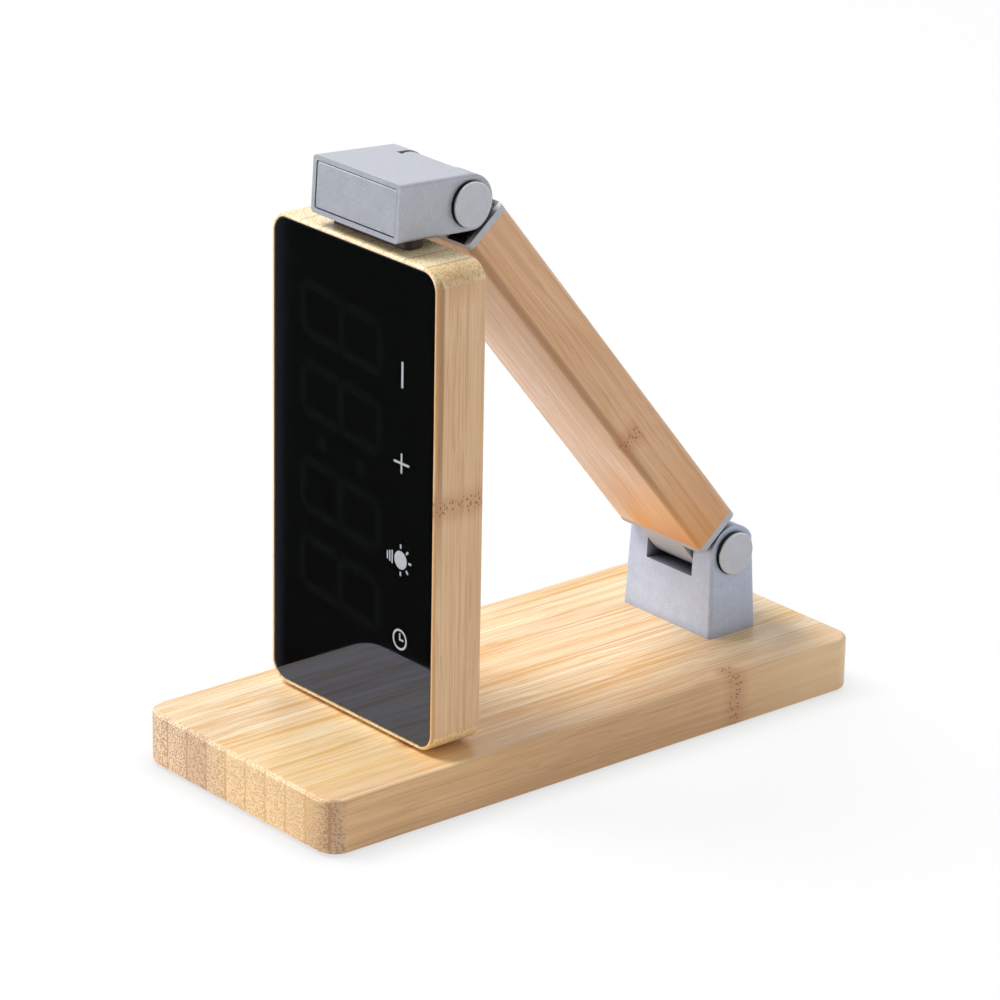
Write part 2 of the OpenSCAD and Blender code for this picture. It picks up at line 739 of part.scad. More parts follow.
base_board();
base_feet();
base_bracket();
base_bracket_screws();
lower_hinge_pin();
lower_pin_caps();
lower_cap_washers();
lower_friction_washers();
arm_bar();
lower_arm_fitting();
upper_arm_fitting();
upper_hinge_pin();
upper_pin_caps();
upper_cap_washers();
upper_friction_washers();
head_bracket();
bracket_cover();
head_neck();
neck_screws();
head_case();
front_panel();
digit_reflector();
digit_diodes();
display_board();
board_screws();
touch_springs();
buzzer();
battery_cell();
chassis();
chassis_screws();
usb_socket();
lamp_board();
lamp_diodes();
lamp_diffuser();
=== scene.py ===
import math

import bmesh
import bpy
from mathutils import Matrix, Vector


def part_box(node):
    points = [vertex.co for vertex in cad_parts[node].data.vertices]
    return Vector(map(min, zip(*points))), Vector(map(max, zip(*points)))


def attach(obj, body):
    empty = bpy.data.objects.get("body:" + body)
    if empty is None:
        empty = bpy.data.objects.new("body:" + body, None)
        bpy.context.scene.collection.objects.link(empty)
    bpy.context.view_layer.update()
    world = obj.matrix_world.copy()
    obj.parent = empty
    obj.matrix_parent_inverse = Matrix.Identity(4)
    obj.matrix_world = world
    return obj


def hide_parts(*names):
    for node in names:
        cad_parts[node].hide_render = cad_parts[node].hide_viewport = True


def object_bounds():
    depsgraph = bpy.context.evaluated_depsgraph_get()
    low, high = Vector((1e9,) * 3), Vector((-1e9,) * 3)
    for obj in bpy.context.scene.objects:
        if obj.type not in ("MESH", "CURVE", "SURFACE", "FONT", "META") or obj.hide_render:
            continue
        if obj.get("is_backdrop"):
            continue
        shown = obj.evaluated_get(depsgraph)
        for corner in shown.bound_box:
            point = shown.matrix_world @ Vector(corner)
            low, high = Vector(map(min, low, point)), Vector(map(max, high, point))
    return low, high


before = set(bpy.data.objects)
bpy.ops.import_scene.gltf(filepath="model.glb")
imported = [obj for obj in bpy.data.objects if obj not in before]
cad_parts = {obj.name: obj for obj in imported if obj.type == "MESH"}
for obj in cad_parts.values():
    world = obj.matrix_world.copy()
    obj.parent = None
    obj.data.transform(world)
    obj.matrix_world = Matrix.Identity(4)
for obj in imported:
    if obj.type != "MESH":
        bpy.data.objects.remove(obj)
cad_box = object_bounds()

# Foot board. Laminated bamboo, planed strips 8.4 mm wide glued side by side with the grain front to back,
# cut out with round corners, its rims rounded and the whole sealed with thin satin lacquer.
MM = 0.001
STRIP = 8.4


def linear(code):
    """The linear colour, with alpha, of an sRGB hex code such as "#e0b080"."""
    parts = [int(code[i:i + 2], 16) / 255 for i in (1, 3, 5)]
    return tuple(c / 12.92 if c <= 0.04045 else ((c + 0.055) / 1.055) ** 2.4 for c in parts) + (1.0,)


def add(tree, kind, *inputs, named=None, **settings):
    """A new node of that kind with its settings. The inputs fill its open sockets in order, and the
    named ones theirs. Each is a plain value, an output, or a node, which stands for its first open output."""
    node = tree.nodes.new(kind)
    for name, value in settings.items():
        setattr(node, name, value)
    open_sockets = [socket for socket in node.inputs if socket.enabled]
    chosen = [(node.inputs[name], value) for name, value in (named or {}).items()]
    for socket, value in list(zip(open_sockets, inputs)) + chosen:
        if isinstance(value, bpy.types.Node):
            value = next(output for output in value.outputs if output.enabled)
        if isinstance(value, bpy.types.NodeSocket):
            tree.links.new(value, socket)
        else:
            socket.default_value = value
    return node


def fresh_material(name):
    """A material with an empty tree, and the tree."""
    material = bpy.data.materials.new(name)
    material.use_nodes = True
    material.node_tree.nodes.clear()
    return material, material.node_tree


# Settings that many nodes share, and the span that nearly all of a noise lies in.
SMOOTH = {"interpolation_type": "SMOOTHSTEP"}
TONES = {"data_type": "RGBA"}
SPREAD = (0.3, 0.7)


def bamboo(name, centre, along, across, cream, gold, flank_and_shade, flank_and_shade_gold, ends, knots=(), stains_and_painted_light=(), seed=0.0):
    """Laminated bamboo, lacquered. Fibre bundles 0.6 mm apart run along the grain: a sawn end shows
    them as dots, denser to each strip's outer side, and a planed face as long fine streaks. A side
    face where the grain of one strip lies open takes the browner tones flank_and_shade and
    flank_and_shade_gold, partly for its open grain and partly as painted shade. ends are the tones of a
    sawn end: a pale strip, a dark one and the dots. knots are culm joints, as mm along, across and
    through from the centre, with their reach across and through. stains_and_painted_light are real
    discolourations and patches of painted light and shade; they run along the grain, as mm across and
    through, their reach and strength, where along the grain they start and are full, and their colour."""
    material, tree = fresh_material(name)
    thick = Vector(along).cross(Vector(across))
    turn = Matrix((along, across, thick)).to_3x3()
    where = add(tree, "ShaderNodeTexCoord")
    laid = add(tree, "ShaderNodeMapping", where.outputs["Object"], -(turn @ Vector(centre)) / MM,
               turn.to_euler(), (1 / MM, 1 / MM, 1 / MM))
    u, v, w = add(tree, "ShaderNodeSeparateXYZ", laid).outputs

    # How far a face is sawn across the grain, and how far it is a strip's open side,
    # whose browner tones are partly painted shade.
    facing = {}
    for word, axis, low, high in (("sawn", along, 0.12, 0.32), ("flank_and_shade", across, 0.5, 0.9)):
        dot = add(tree, "ShaderNodeVectorMath", where.outputs["Normal"], Vector(axis),
                  operation="DOT_PRODUCT")
        size = add(tree, "ShaderNodeMath", dot, operation="ABSOLUTE")
        facing[word] = add(tree, "ShaderNodeMapRange", size, low, high, **SMOOTH)

    # Each strip has its own tone, and its grain is shifted so that no two strips match. A slow warp
    # lets the streaks wander as the culm's fibres do.
    first_strip = 100.5 + seed
    most_shift = 300.0
    warp_start, warp_length, warp_breadth, warp = 3, 60, 12, 1.5
    strips = add(tree, "ShaderNodeMath", v, 1 / STRIP, first_strip, operation="MULTIPLY_ADD")
    in_strip = add(tree, "ShaderNodeMath", strips, operation="FRACT")
    number = add(tree, "ShaderNodeMath", strips, operation="FLOOR")
    tone = add(tree, "ShaderNodeTexWhiteNoise", number, noise_dimensions="1D")
    shifted = add(tree, "ShaderNodeMath", tone, most_shift, u, operation="MULTIPLY_ADD")
    still = add(tree, "ShaderNodeCombineXYZ", shifted, v, w)
    warp_point = add(tree, "ShaderNodeMapping", still, (warp_start, warp_start, warp_start), (0, 0, 0),
                     (1 / warp_length, 1 / warp_breadth, 1 / warp_breadth))
    slow = add(tree, "ShaderNodeTexNoise", warp_point, 1.0, 1.0)
    wander = add(tree, "ShaderNodeMath", slow, 2 * warp, -warp, operation="MULTIPLY_ADD")
    moved = add(tree, "ShaderNodeCombineXYZ", shifted, add(tree, "ShaderNodeMath", v, wander),
                add(tree, "ShaderNodeMath", w, wander))

    # Streaks: broad gold bands, fine fibres, dark hairs and wide clouds. Each has its length and
    # breadth in mm, its detail and start in the noise, where it sets in and is full, and its strength.
    # Single fibres are some 0.1 mm; they are drawn 0.26 and 0.5 mm broad so that they show.
    streaks = {}
    shares = {}
    for word, length, breadth, detail, start, low, high, most in (
            ("band", 150, 1.9, 2.0, 0.0, 0.42, 0.64, 1.0), ("line", 120, 0.5, 2.0, 7.0, 0.44, 0.62, 1.0),
            ("hair", 80, 0.26, 1.0, 31.0, 0.54, 0.68, 0.45), ("cloud", 60, 10, 1.0, 57.0, 0.46, 0.7, 0.35)):
        point = add(tree, "ShaderNodeMapping", moved, (start, start, start), (0, 0, 0),
                    (1 / length, 1 / breadth, 1 / breadth))
        streaks[word] = add(tree, "ShaderNodeTexNoise", point, 1.0, detail, 0.55)
        shares[word] = add(tree, "ShaderNodeMapRange", streaks[word], low, high, 0.0, most, **SMOOTH)
    band_part, line_part = 0.42, 0.52
    mixed = add(tree, "ShaderNodeMath", shares["band"], band_part, operation="MULTIPLY")
    mixed = add(tree, "ShaderNodeMath", shares["line"], line_part, mixed, operation="MULTIPLY_ADD")
    mixed = add(tree, "ShaderNodeMath", mixed, shares["cloud"], use_clamp=True)
    planed = add(tree, "ShaderNodeMix", mixed, linear(cream), linear(gold), **TONES)
    # Side faces take the browner tones: partly open grain, partly painted shade.
    side = add(tree, "ShaderNodeMix", mixed, linear(flank_and_shade), linear(flank_and_shade_gold), **TONES)
    colour = add(tree, "ShaderNodeMix", facing["flank_and_shade"], planed, side, **TONES)
    strip_tan, hair_brown, glue_brown = linear("#e3b98c"), linear("#b97f4c"), linear("#b07850")
    pale_tone, dark_tone, most_tan = 0.3, 0.9, 0.5
    strip_share = add(tree, "ShaderNodeMapRange", tone, pale_tone, dark_tone, 0.0, most_tan)
    colour = add(tree, "ShaderNodeMix", strip_share, colour, strip_tan, **TONES)
    colour = add(tree, "ShaderNodeMix", shares["hair"], colour, hair_brown, **TONES)

    # Sawn ends: the bundles are cells across the grain, longer along it. Dots shrink across a strip.
    bundle, bundle_length = 0.62, 1.5
    outer_dot, inner_dot = 0.52, 0.4
    dot_rim, dot_strength = (-0.08, 0.12), 0.62
    cell_point = add(tree, "ShaderNodeMapping", still, (0, 0, 0), (0, 0, 0),
                     (1 / bundle_length, 1 / bundle, 1 / bundle))
    cells = add(tree, "ShaderNodeTexVoronoi", cell_point, 1.0, named={"Randomness": 0.85})
    dot_reach = add(tree, "ShaderNodeMapRange", in_strip, 0.0, 1.0, outer_dot, inner_dot)
    inside = add(tree, "ShaderNodeMath", dot_reach, cells, operation="SUBTRACT")
    dots = add(tree, "ShaderNodeMapRange", inside, *dot_rim, 0.0, dot_strength, **SMOOTH)
    pale_end, dark_end, dot_brown = (linear(code) for code in ends)
    end = add(tree, "ShaderNodeMix", strip_share, pale_end, dark_end, **TONES)
    end = add(tree, "ShaderNodeMix", dots, end, dot_brown, **TONES)
    colour = add(tree, "ShaderNodeMix", facing["sawn"], colour, end, **TONES)

    # Glue lines, about 0.15 mm wide, drawn 0.6 mm wide so that they show, more on a sawn end.
    glue_full, glue_gone = 0.1, 0.5
    glue_planed, glue_sawn = 0.15, 0.6
    other_side = add(tree, "ShaderNodeMath", 1.0, in_strip, operation="SUBTRACT")
    near_glue = add(tree, "ShaderNodeMath", in_strip, other_side, operation="MINIMUM")
    glue_share = add(tree, "ShaderNodeMapRange", facing["sawn"], 0.0, 1.0, glue_planed, glue_sawn)
    glue = add(tree, "ShaderNodeMapRange", near_glue, glue_full / STRIP, glue_gone / STRIP, glue_share, 0.0,
               **SMOOTH)
    colour = add(tree, "ShaderNodeMix", glue, colour, glue_brown, **TONES)

    # Stains and patches of painted light and shade, soft at their rims, and fading in from their start.
    core_share = 0.4
    for patch_v, patch_w, reach, strength, start_u, full_u, patch_colour in stains_and_painted_light:
        off_v = add(tree, "ShaderNodeMath", v, -patch_v)
        off_w = add(tree, "ShaderNodeMath", w, -patch_w)
        off = add(tree, "ShaderNodeCombineXYZ", 0.0, off_v, off_w)
        away = add(tree, "ShaderNodeVectorMath", off, operation="LENGTH")
        grown = add(tree, "ShaderNodeMapRange", u, start_u, full_u, 0.0, strength)
        share = add(tree, "ShaderNodeMapRange", away, reach * core_share, reach, grown, 0.0, **SMOOTH)
        colour = add(tree, "ShaderNodeMix", share, colour, linear(patch_colour), **TONES)

    # Culm joints: a band 4 mm long across a strip, with a tan halo and short dark flecks in it.
    halo_tan, fleck_brown = linear("#b9773e"), linear("#5e3a1e")
    joint_wave, joint_fade = 2.5, 1.5
    halo_full, halo_gone, halo_strength = 0.8, 6.0, 0.42
    band_full, band_gone = 1.4, 2.4
    flecks_along, flecks_across = 0.8, 1.3
    fleck_full, fleck_gone, fleck_strength = 0.22, 0.42, 0.8
    wave = add(tree, "ShaderNodeMath", streaks["line"], 2 * joint_wave, -joint_wave, operation="MULTIPLY_ADD")
    fleck_point = add(tree, "ShaderNodeMapping", laid, (0, 0, 0), (0, 0, 0),
                      (flecks_along, flecks_across, flecks_across))
    flecks = add(tree, "ShaderNodeTexVoronoi", fleck_point, 1.0)
    fleck = add(tree, "ShaderNodeMapRange", flecks, fleck_full, fleck_gone, fleck_strength, 0.0, **SMOOTH)
    for knot_u, knot_v, knot_w, reach_v, reach_w in knots:
        offsets = []
        for coordinate, middle in ((add(tree, "ShaderNodeMath", u, wave), knot_u), (v, knot_v), (w, knot_w)):
            off = add(tree, "ShaderNodeMath", coordinate, middle, operation="SUBTRACT")
            offsets.append(add(tree, "ShaderNodeMath", off, operation="ABSOLUTE"))
        near_v, near_w = (add(tree, "ShaderNodeMapRange", off, reach, reach + joint_fade, 1.0, 0.0)
                          for off, reach in ((offsets[1], reach_v), (offsets[2], reach_w)))
        near = add(tree, "ShaderNodeMath", near_v, near_w, operation="MULTIPLY")
        halo = add(tree, "ShaderNodeMapRange", offsets[0], halo_full, halo_gone, halo_strength, 0.0, **SMOOTH)
        halo = add(tree, "ShaderNodeMath", near, halo, operation="MULTIPLY")
        colour = add(tree, "ShaderNodeMix", halo, colour, halo_tan, **TONES)
        core = add(tree, "ShaderNodeMapRange", offsets[0], band_full, band_gone, 1.0, 0.0, **SMOOTH)
        core = add(tree, "ShaderNodeMath", core, near, operation="MULTIPLY")
        core = add(tree, "ShaderNodeMath", core, fleck, operation="MULTIPLY")
        colour = add(tree, "ShaderNodeMix", core, colour, fleck_brown, **TONES)

    # Lacquer fills the pores but for a faint relief of fibres and dots.
    lacquer_rough = (0.36, 0.5)
    pores = add(tree, "ShaderNodeMath", dots, facing["sawn"], operation="MULTIPLY")
    relief = add(tree, "ShaderNodeMath", streaks["line"], pores, operation="SUBTRACT")
    bump = add(tree, "ShaderNodeBump", named={"Height": relief, "Strength": 0.4, "Distance": 0.02 * MM})
    rough = add(tree, "ShaderNodeMapRange", streaks["line"], *SPREAD, *lacquer_rough)
    wood = add(tree, "ShaderNodeBsdfPrincipled", named={
        "Base Color": colour, "Roughness": rough, "IOR": 1.5, "Normal": bump, "Coat Weight": 0.3,
        "Coat Roughness": 0.3, "Coat IOR": 1.5})
    add(tree, "ShaderNodeOutputMaterial", wood)
    return material


def bake(piece):
    """The piece's modifiers become plain mesh."""
    baked = bpy.data.meshes.new_from_object(piece.evaluated_get(bpy.context.evaluated_depsgraph_get()))
    piece.modifiers.clear()
    piece.data = baked
    baked.name = piece.name


def settle(piece, body, slot, *nodes, finish=()):
    """The piece gets its finish, rides on its body and stands for its CAD nodes."""
    if finish:
        slots = [polygon.material_index for polygon in piece.data.polygons]
        piece.data.materials.clear()
        for material in finish:
            piece.data.materials.append(material)
        if len(finish) > 1:
            piece.data.polygons.foreach_set("material_index", slots)
    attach(piece, body)
    if nodes:
        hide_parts(*nodes)


def dress(node, name, body, slot, *finish, bevel=0.0):
    """The node's shape with its triangles merged, smooth where it is round, its sharp edges bevelled by
    that much, in its finish. A second finish is for the bevels."""
    sharp = math.radians(35)
    solid = bmesh.new()
    solid.from_mesh(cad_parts[node].data)
    bmesh.ops.remove_doubles(solid, verts=solid.verts, dist=0.001 * MM)
    bmesh.ops.dissolve_limit(solid, angle_limit=math.radians(0.5), verts=solid.verts, edges=solid.edges)
    mesh = bpy.data.meshes.new(name + "_rough")
    solid.to_mesh(mesh)
    solid.free()
    mesh.shade_smooth()
    mesh.set_sharp_from_angle(angle=sharp)
    piece = bpy.data.objects.new(name, mesh)
    bpy.context.scene.collection.objects.link(piece)
    if bevel:
        rims = piece.modifiers.new("rims", "BEVEL")
        rims.width = bevel
        rims.segments = 2
        rims.limit_method = "ANGLE"
        rims.angle_limit = sharp
        rims.use_clamp_overlap = True
        if len(finish) > 1:
            mesh.materials.append(None)
            mesh.materials.append(None)
            rims.material = 1
    flats = piece.modifiers.new("flats", "WEIGHTED_NORMAL")
    flats.keep_sharp = True
    bake(piece)
    settle(piece, body, slot, node, finish=finish)
    return piece


def middle_of(node):
    """The middle of the node's box."""
    low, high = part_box(node)
    return (Vector(low) + Vector(high)) / 2


foot_grain = bamboo(
    "lacquered bamboo, foot", middle_of("base_board"), along=(0, 1, 0), across=(-1, 0, 0),
    cream="#ffedc9", gold="#e5ae5c", flank_and_shade="#dcae75", flank_and_shade_gold="#bd884b",
    ends=("#e6c6a0", "#ab7e55", "#8f5f3a"),
    knots=[(47, -38, 0, 3.0, 9.0), (-52, -22, 8, 2.0, 1.2)],
    # Painted light: the first makes the rear of the right side paler. The second makes the top's front
    # yellower.
    stains_and_painted_light=[(-40, 0, 14, 0.55, 35, 75, "#f6d6a4"), (-14, 7.6, 32, 0.3, 10, -60, "#ffd486")],
    seed=643.0)
dress("base_board", "foot_board", "base", "bamboo", foot_grain)

# Rubber feet. Four silicone buttons, stamped from sheet and pressed into pockets under the board.
# Silicone is soft to the touch and scatters light: black, matt, with a faint bloom.


def plain_finish(name, dark, pale, grain, rough, relief=0.02, **shader):
    """A finish whose colour wavers between two tones in grains of that many mm, with its roughness
    between two values and a faint relief, in mm."""
    material, tree = fresh_material(name)
    where = add(tree, "ShaderNodeTexCoord").outputs["Object"]
    grains = add(tree, "ShaderNodeTexNoise", where, 1 / (grain * MM), 3.0)
    share = add(tree, "ShaderNodeMapRange", grains, *SPREAD, **SMOOTH)
    shade = add(tree, "ShaderNodeMix", share, linear(dark), linear(pale), **TONES)
    bump = add(tree, "ShaderNodeBump", named={"Height": grains, "Strength": 0.3, "Distance": relief * MM})
    wavering = add(tree, "ShaderNodeMapRange", grains, *SPREAD, *rough)
    surface = add(tree, "ShaderNodeBsdfPrincipled", named={"Base Color": shade, "Roughness": wavering,
                                                           "Normal": bump})
    for word, value in shader.items():
        surface.inputs[word.replace("_", " ")].default_value = value
    add(tree, "ShaderNodeOutputMaterial", surface)
    return material


black_silicone = plain_finish("black silicone rubber", "#131313", "#242424", grain=1.1, rough=(0.68, 0.8),
                              IOR=1.43)
dress("base_feet", "rubber_feet", "base", "silicone", black_silicone, bevel=0.3 * MM)

# Clevis brackets. Two aluminium castings from one pattern, barrel-finished to soft rims and sprayed
# with a thin silver coat: fine-grained, satin, and worn thin on the rims, which shine, partly from wear
# and partly as a painted highlight of paler silver. The lower one's coat is bluer.


def silver_coat(name, dark, pale, metal):
    """Silver paint over cast metal. Its flakes are some 0.05 mm, drawn at 0.35 mm so that they show.
    Its hollows are painted dark grey, as painted shade."""
    flake, blotch, hollow = 0.35 * MM, 3 * MM, 7 * MM
    flake_part = 0.75
    painted_hollow_shade, shut_in, in_the_open = linear("#3c3e43"), 0.2, 0.62
    coat_rough = (0.36, 0.46)
    material, tree = fresh_material(name)
    where = add(tree, "ShaderNodeTexCoord").outputs["Object"]
    grain = add(tree, "ShaderNodeTexNoise", where, 1 / flake, 2.0, 0.7)
    cloud = add(tree, "ShaderNodeTexNoise", where, 1 / blotch, 2.0)
    mixed = add(tree, "ShaderNodeMath", cloud, 1 - flake_part, operation="MULTIPLY")
    mixed = add(tree, "ShaderNodeMath", grain, flake_part, mixed, operation="MULTIPLY_ADD")
    share = add(tree, "ShaderNodeMapRange", mixed, *SPREAD, **SMOOTH)
    colour = add(tree, "ShaderNodeMix", share, linear(dark), linear(pale), **TONES)
    # Painted shade: the colour turns dark grey where other surfaces close in, in hollows and between parts.
    open_sky = add(tree, "ShaderNodeAmbientOcclusion", named={"Distance": hollow}, samples=6)
    unshaded_share = add(tree, "ShaderNodeMapRange", open_sky.outputs["AO"], shut_in, in_the_open)
    colour = add(tree, "ShaderNodeMix", unshaded_share, painted_hollow_shade, colour, **TONES)
    bump = add(tree, "ShaderNodeBump", named={"Height": grain, "Strength": 0.35, "Distance": 0.03 * MM})
    rough = add(tree, "ShaderNodeMapRange", cloud, *SPREAD, *coat_rough)
    coat = add(tree, "ShaderNodeBsdfPrincipled", named={
        "Base Color": colour, "Metallic": metal, "Normal": bump, "Roughness": rough})
    add(tree, "ShaderNodeOutputMaterial", coat)
    return material


silver = silver_coat("silver lacquer on die-cast aluminium", "#abaeb6", "#c0c3cb", metal=0.1)
lower_silver = silver_coat("silver lacquer on die-cast aluminium, lower", "#aeb8cb", "#c4cee2", metal=0.05)
# Rims: more metallic where the coat is worn, and paler silver as a painted highlight.
worn_and_highlit_rim = silver_coat("die-cast aluminium with its lacquer worn thin", "#b7bac1", "#d2d5db", metal=0.5)
# A darker grey copy of the silver for faces looking to the front: painted shade.
shaded_front_silver = silver_coat("silver lacquer on a face that was ground flat", "#8a8b8f", "#9c9da0", metal=0.15)
soft_rim = 0.2 * MM
dress("base_bracket", "lower_bracket", "base", "cast_metal", lower_silver, worn_and_highlit_rim, bevel=soft_rim)
casting = dress("head_bracket", "upper_bracket", "head", "cast_metal", silver, worn_and_highlit_rim, shaded_front_silver,
                bevel=soft_rim)

# The mouth of the upper one's hollow foot, which faces front, is drawn darker grey: painted shade.
mouth_depth = 0.6 * MM
front_facing = -0.9
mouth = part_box("head_bracket")[0][1] + mouth_depth
for polygon in casting.data.polygons:
    if polygon.normal.y < front_facing and polygon.center.y < mouth:
        polygon.material_index = 2

# Bracket cover. The upper casting lies on its side, with its hollow foot to the front; a thin
# stamped lid closes it, pressed in a little proud of the rim.
# The lid takes the darker grey copy of the silver: painted shade.
dress("bracket_cover", "bracket_lid", "head", "cap_metal", shaded_front_silver, worn_and_highlit_rim, bevel=0.25 * MM)

# Screws, of zinc-plated steel with rolled threads and cross recesses: two sunk in the foot's underside,
# two in the neck, four in the display board and four in the chassis. Plating is bright, a little streaky.
bright_steel = plain_finish("zinc-plated steel", "#8c8f93", "#b9bcc0", grain=0.7, rough=(0.22, 0.4),
                            Metallic=1.0)


def solids_of(node):
    """The lowest and highest corner of each separate solid of a node."""
    body = bmesh.new()
    body.from_mesh(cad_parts[node].data)
    bmesh.ops.remove_doubles(body, verts=body.verts, dist=0.001 * MM)
    left = set(body.verts)
    boxes = []
    while left:
        fresh = {left.pop()}
        found = set(fresh)
        while fresh:
            fresh = {edge.other_vert(vert) for vert in fresh for edge in vert.link_edges} & left
            left -= fresh
            found |= fresh
        boxes.append([Vector([pick(vert.co[i] for vert in found) for i in range(3)])
                      for pick in (min, max)])
    body.free()
    return sorted(boxes, key=lambda box: tuple(round(c, 6) for c in box[0]))


def geometry_tree(name, **inputs):
    """A geometry tree that makes pieces at given points, and its inputs by name."""
    tree = bpy.data.node_groups.new(name, "GeometryNodeTree")
    for word, kind in {"Places": "Geometry", **inputs, "Finish": "Material"}.items():
        tree.interface.new_socket(name=word, in_out="INPUT", socket_type="NodeSocket" + kind)
    tree.interface.new_socket(name="Pieces", in_out="OUTPUT", socket_type="NodeSocketGeometry")
    return tree, add(tree, "NodeGroupInput").outputs


def joined(tree, kind, parts, socket=0, **settings):
    """One node of that kind that takes all the parts in one socket."""
    node = add(tree, kind, **settings)
    for part in parts:
        tree.links.new(next(output for output in part.outputs if output.enabled), node.inputs[socket])
    return node


def end_tree(tree, given, pieces):
    """The tree ends in solid copies with their finish."""
    whole = add(tree, "GeometryNodeRealizeInstances", pieces)
    add(tree, "NodeGroupOutput", add(tree, "GeometryNodeSetMaterial", whole, True, given["Finish"]))


def made_by(tree, name, places, sizes, finish):
    """What the tree makes at those places, as one plain mesh."""
    points = bpy.data.meshes.new(name + "_places")
    points.from_pydata([tuple(place) for place in places], [], [])
    piece = bpy.data.objects.new(name, points)
    bpy.context.scene.collection.objects.link(piece)
    maker = piece.modifiers.new("maker", "NODES")
    maker.node_group = tree
    identifiers = {item.name: item.identifier for item in tree.interface.items_tree if item.in_out == "INPUT"}
    for word, value in {**sizes, "Finish": finish}.items():
        maker[identifiers[word]] = value
    bake(piece)
    piece.data.shade_smooth()
    piece.data.set_sharp_from_angle(angle=math.radians(35))
    return piece


# A screw points along +Z from the top of its head: a crown, a seat under it, the core of the shank, the
# thread wound round it, and a cross recess sunk in the crown.
round_sides, thread_steps = 32, 20
screws, given = geometry_tree("cross-head screw", **{word: "Float" for word in (
    "Crown Radius", "Head Radius", "Seat Radius", "Crown Height", "Seat Height", "Core Radius",
    "Shank Length", "Thread Radius", "Thread Start", "Ridge", "Turns", "Run", "Arm Length", "Arm Breadth",
    "Arm Depth")}, Turn="Vector")
crown = add(screws, "GeometryNodeMeshCone", round_sides, 1, 1, given["Head Radius"], given["Crown Radius"],
            given["Crown Height"], fill_type="NGON")
seat = add(screws, "GeometryNodeMeshCone", round_sides, 1, 1, given["Seat Radius"], given["Head Radius"],
           given["Seat Height"], fill_type="NGON")
core = add(screws, "GeometryNodeMeshCone", round_sides, 1, 1, given["Core Radius"], given["Core Radius"],
           given["Shank Length"], fill_type="NGON")
raised = add(screws, "ShaderNodeCombineXYZ", 0.0, 0.0, given["Crown Height"])
blank = joined(screws, "GeometryNodeMeshBoolean",
               [crown] + [add(screws, "GeometryNodeTransform", part, raised) for part in (seat, core)],
               "Mesh 2", operation="UNION", solver="EXACT")
arm_sizes = [add(screws, "ShaderNodeCombineXYZ", given[a], given[b], given["Arm Depth"])
             for a, b in (("Arm Length", "Arm Breadth"), ("Arm Breadth", "Arm Length"))]
arms = [add(screws, "GeometryNodeMeshCube", size) for size in arm_sizes]
cut = joined(screws, "GeometryNodeMeshBoolean", arms, "Mesh 2", operation="DIFFERENCE", solver="EXACT")
screws.links.new(blank.outputs[0], cut.inputs["Mesh 1"])
path = add(screws, "GeometryNodeCurveSpiral", thread_steps, given["Turns"], given["Thread Radius"],
           given["Thread Radius"], given["Run"], False)
ridge = add(screws, "GeometryNodeCurvePrimitiveCircle", named={"Resolution": 4, "Radius": given["Ridge"]})
thread = add(screws, "GeometryNodeCurveToMesh", path, ridge, named={"Fill Caps": True})
thread_start = add(screws, "ShaderNodeCombineXYZ", 0.0, 0.0, given["Thread Start"])
thread = add(screws, "GeometryNodeTransform", thread, thread_start)
screw = joined(screws, "GeometryNodeJoinGeometry", [thread, cut])
end_tree(screws, given, add(screws, "GeometryNodeInstanceOnPoints", given["Places"],
                            named={"Instance": screw, "Rotation": given["Turn"]}))


def drive(node, name, body, axis, head_height, shank, sunk=False):
    """Screws in the places of the node's, pointing along that axis from the tops of their heads. shank
    is the thread's outer radius. A sunk head is a flat cone, any other a pan."""
    boxes = solids_of(node)
    low, high = boxes[0]
    head = (high[0] - low[0]) / 2
    length = high[axis] - low[axis]
    places = [(low + high) / 2 for low, high in boxes]
    for place, (low, high) in zip(places, boxes):
        place[axis] = low[axis]
    crown_height_share, crown_radius_share = (0.08, 0.98) if sunk else (0.5, 0.7)
    core_share, thread_share, ridge_share, pitch_share, run_share = 0.8, 0.88, 0.11, 0.75, 0.9
    arm_length_share, arm_breadth_share, arm_depth_share = 1.1, 0.26, 0.9
    crown_height = head_height * crown_height_share
    pitch = shank * pitch_share
    run = (length - head_height) * run_share
    sizes = {"Crown Radius": head * crown_radius_share, "Head Radius": head,
             "Seat Radius": shank if sunk else head, "Crown Height": crown_height,
             "Seat Height": head_height - crown_height, "Core Radius": shank * core_share,
             "Shank Length": length - crown_height, "Thread Radius": shank * thread_share,
             "Thread Start": head_height, "Ridge": shank * ridge_share, "Turns": run / pitch, "Run": run,
             "Arm Length": head * arm_length_share, "Arm Breadth": head * arm_breadth_share,
             "Arm Depth": head_height * arm_depth_share,
             "Turn": (0.0, 0.0, 0.0) if axis == 2 else (math.radians(-90), 0.0, 0.0)}
    settle(made_by(screws, name, places, sizes, bright_steel), body, "steel", node)


drive("base_bracket_screws", "foot_screws", "base", axis=2, head_height=2.4 * MM, shank=1.6 * MM, sunk=True)
drive("neck_screws", "neck_pan_screws", "head", axis=2, head_height=1.6 * MM, shank=1.25 * MM)
drive("board_screws", "display_screws", "head", axis=1, head_height=1.2 * MM, shank=0.98 * MM)
drive("chassis_screws", "tray_screws", "head", axis=1, head_height=1.2 * MM, shank=0.93 * MM)

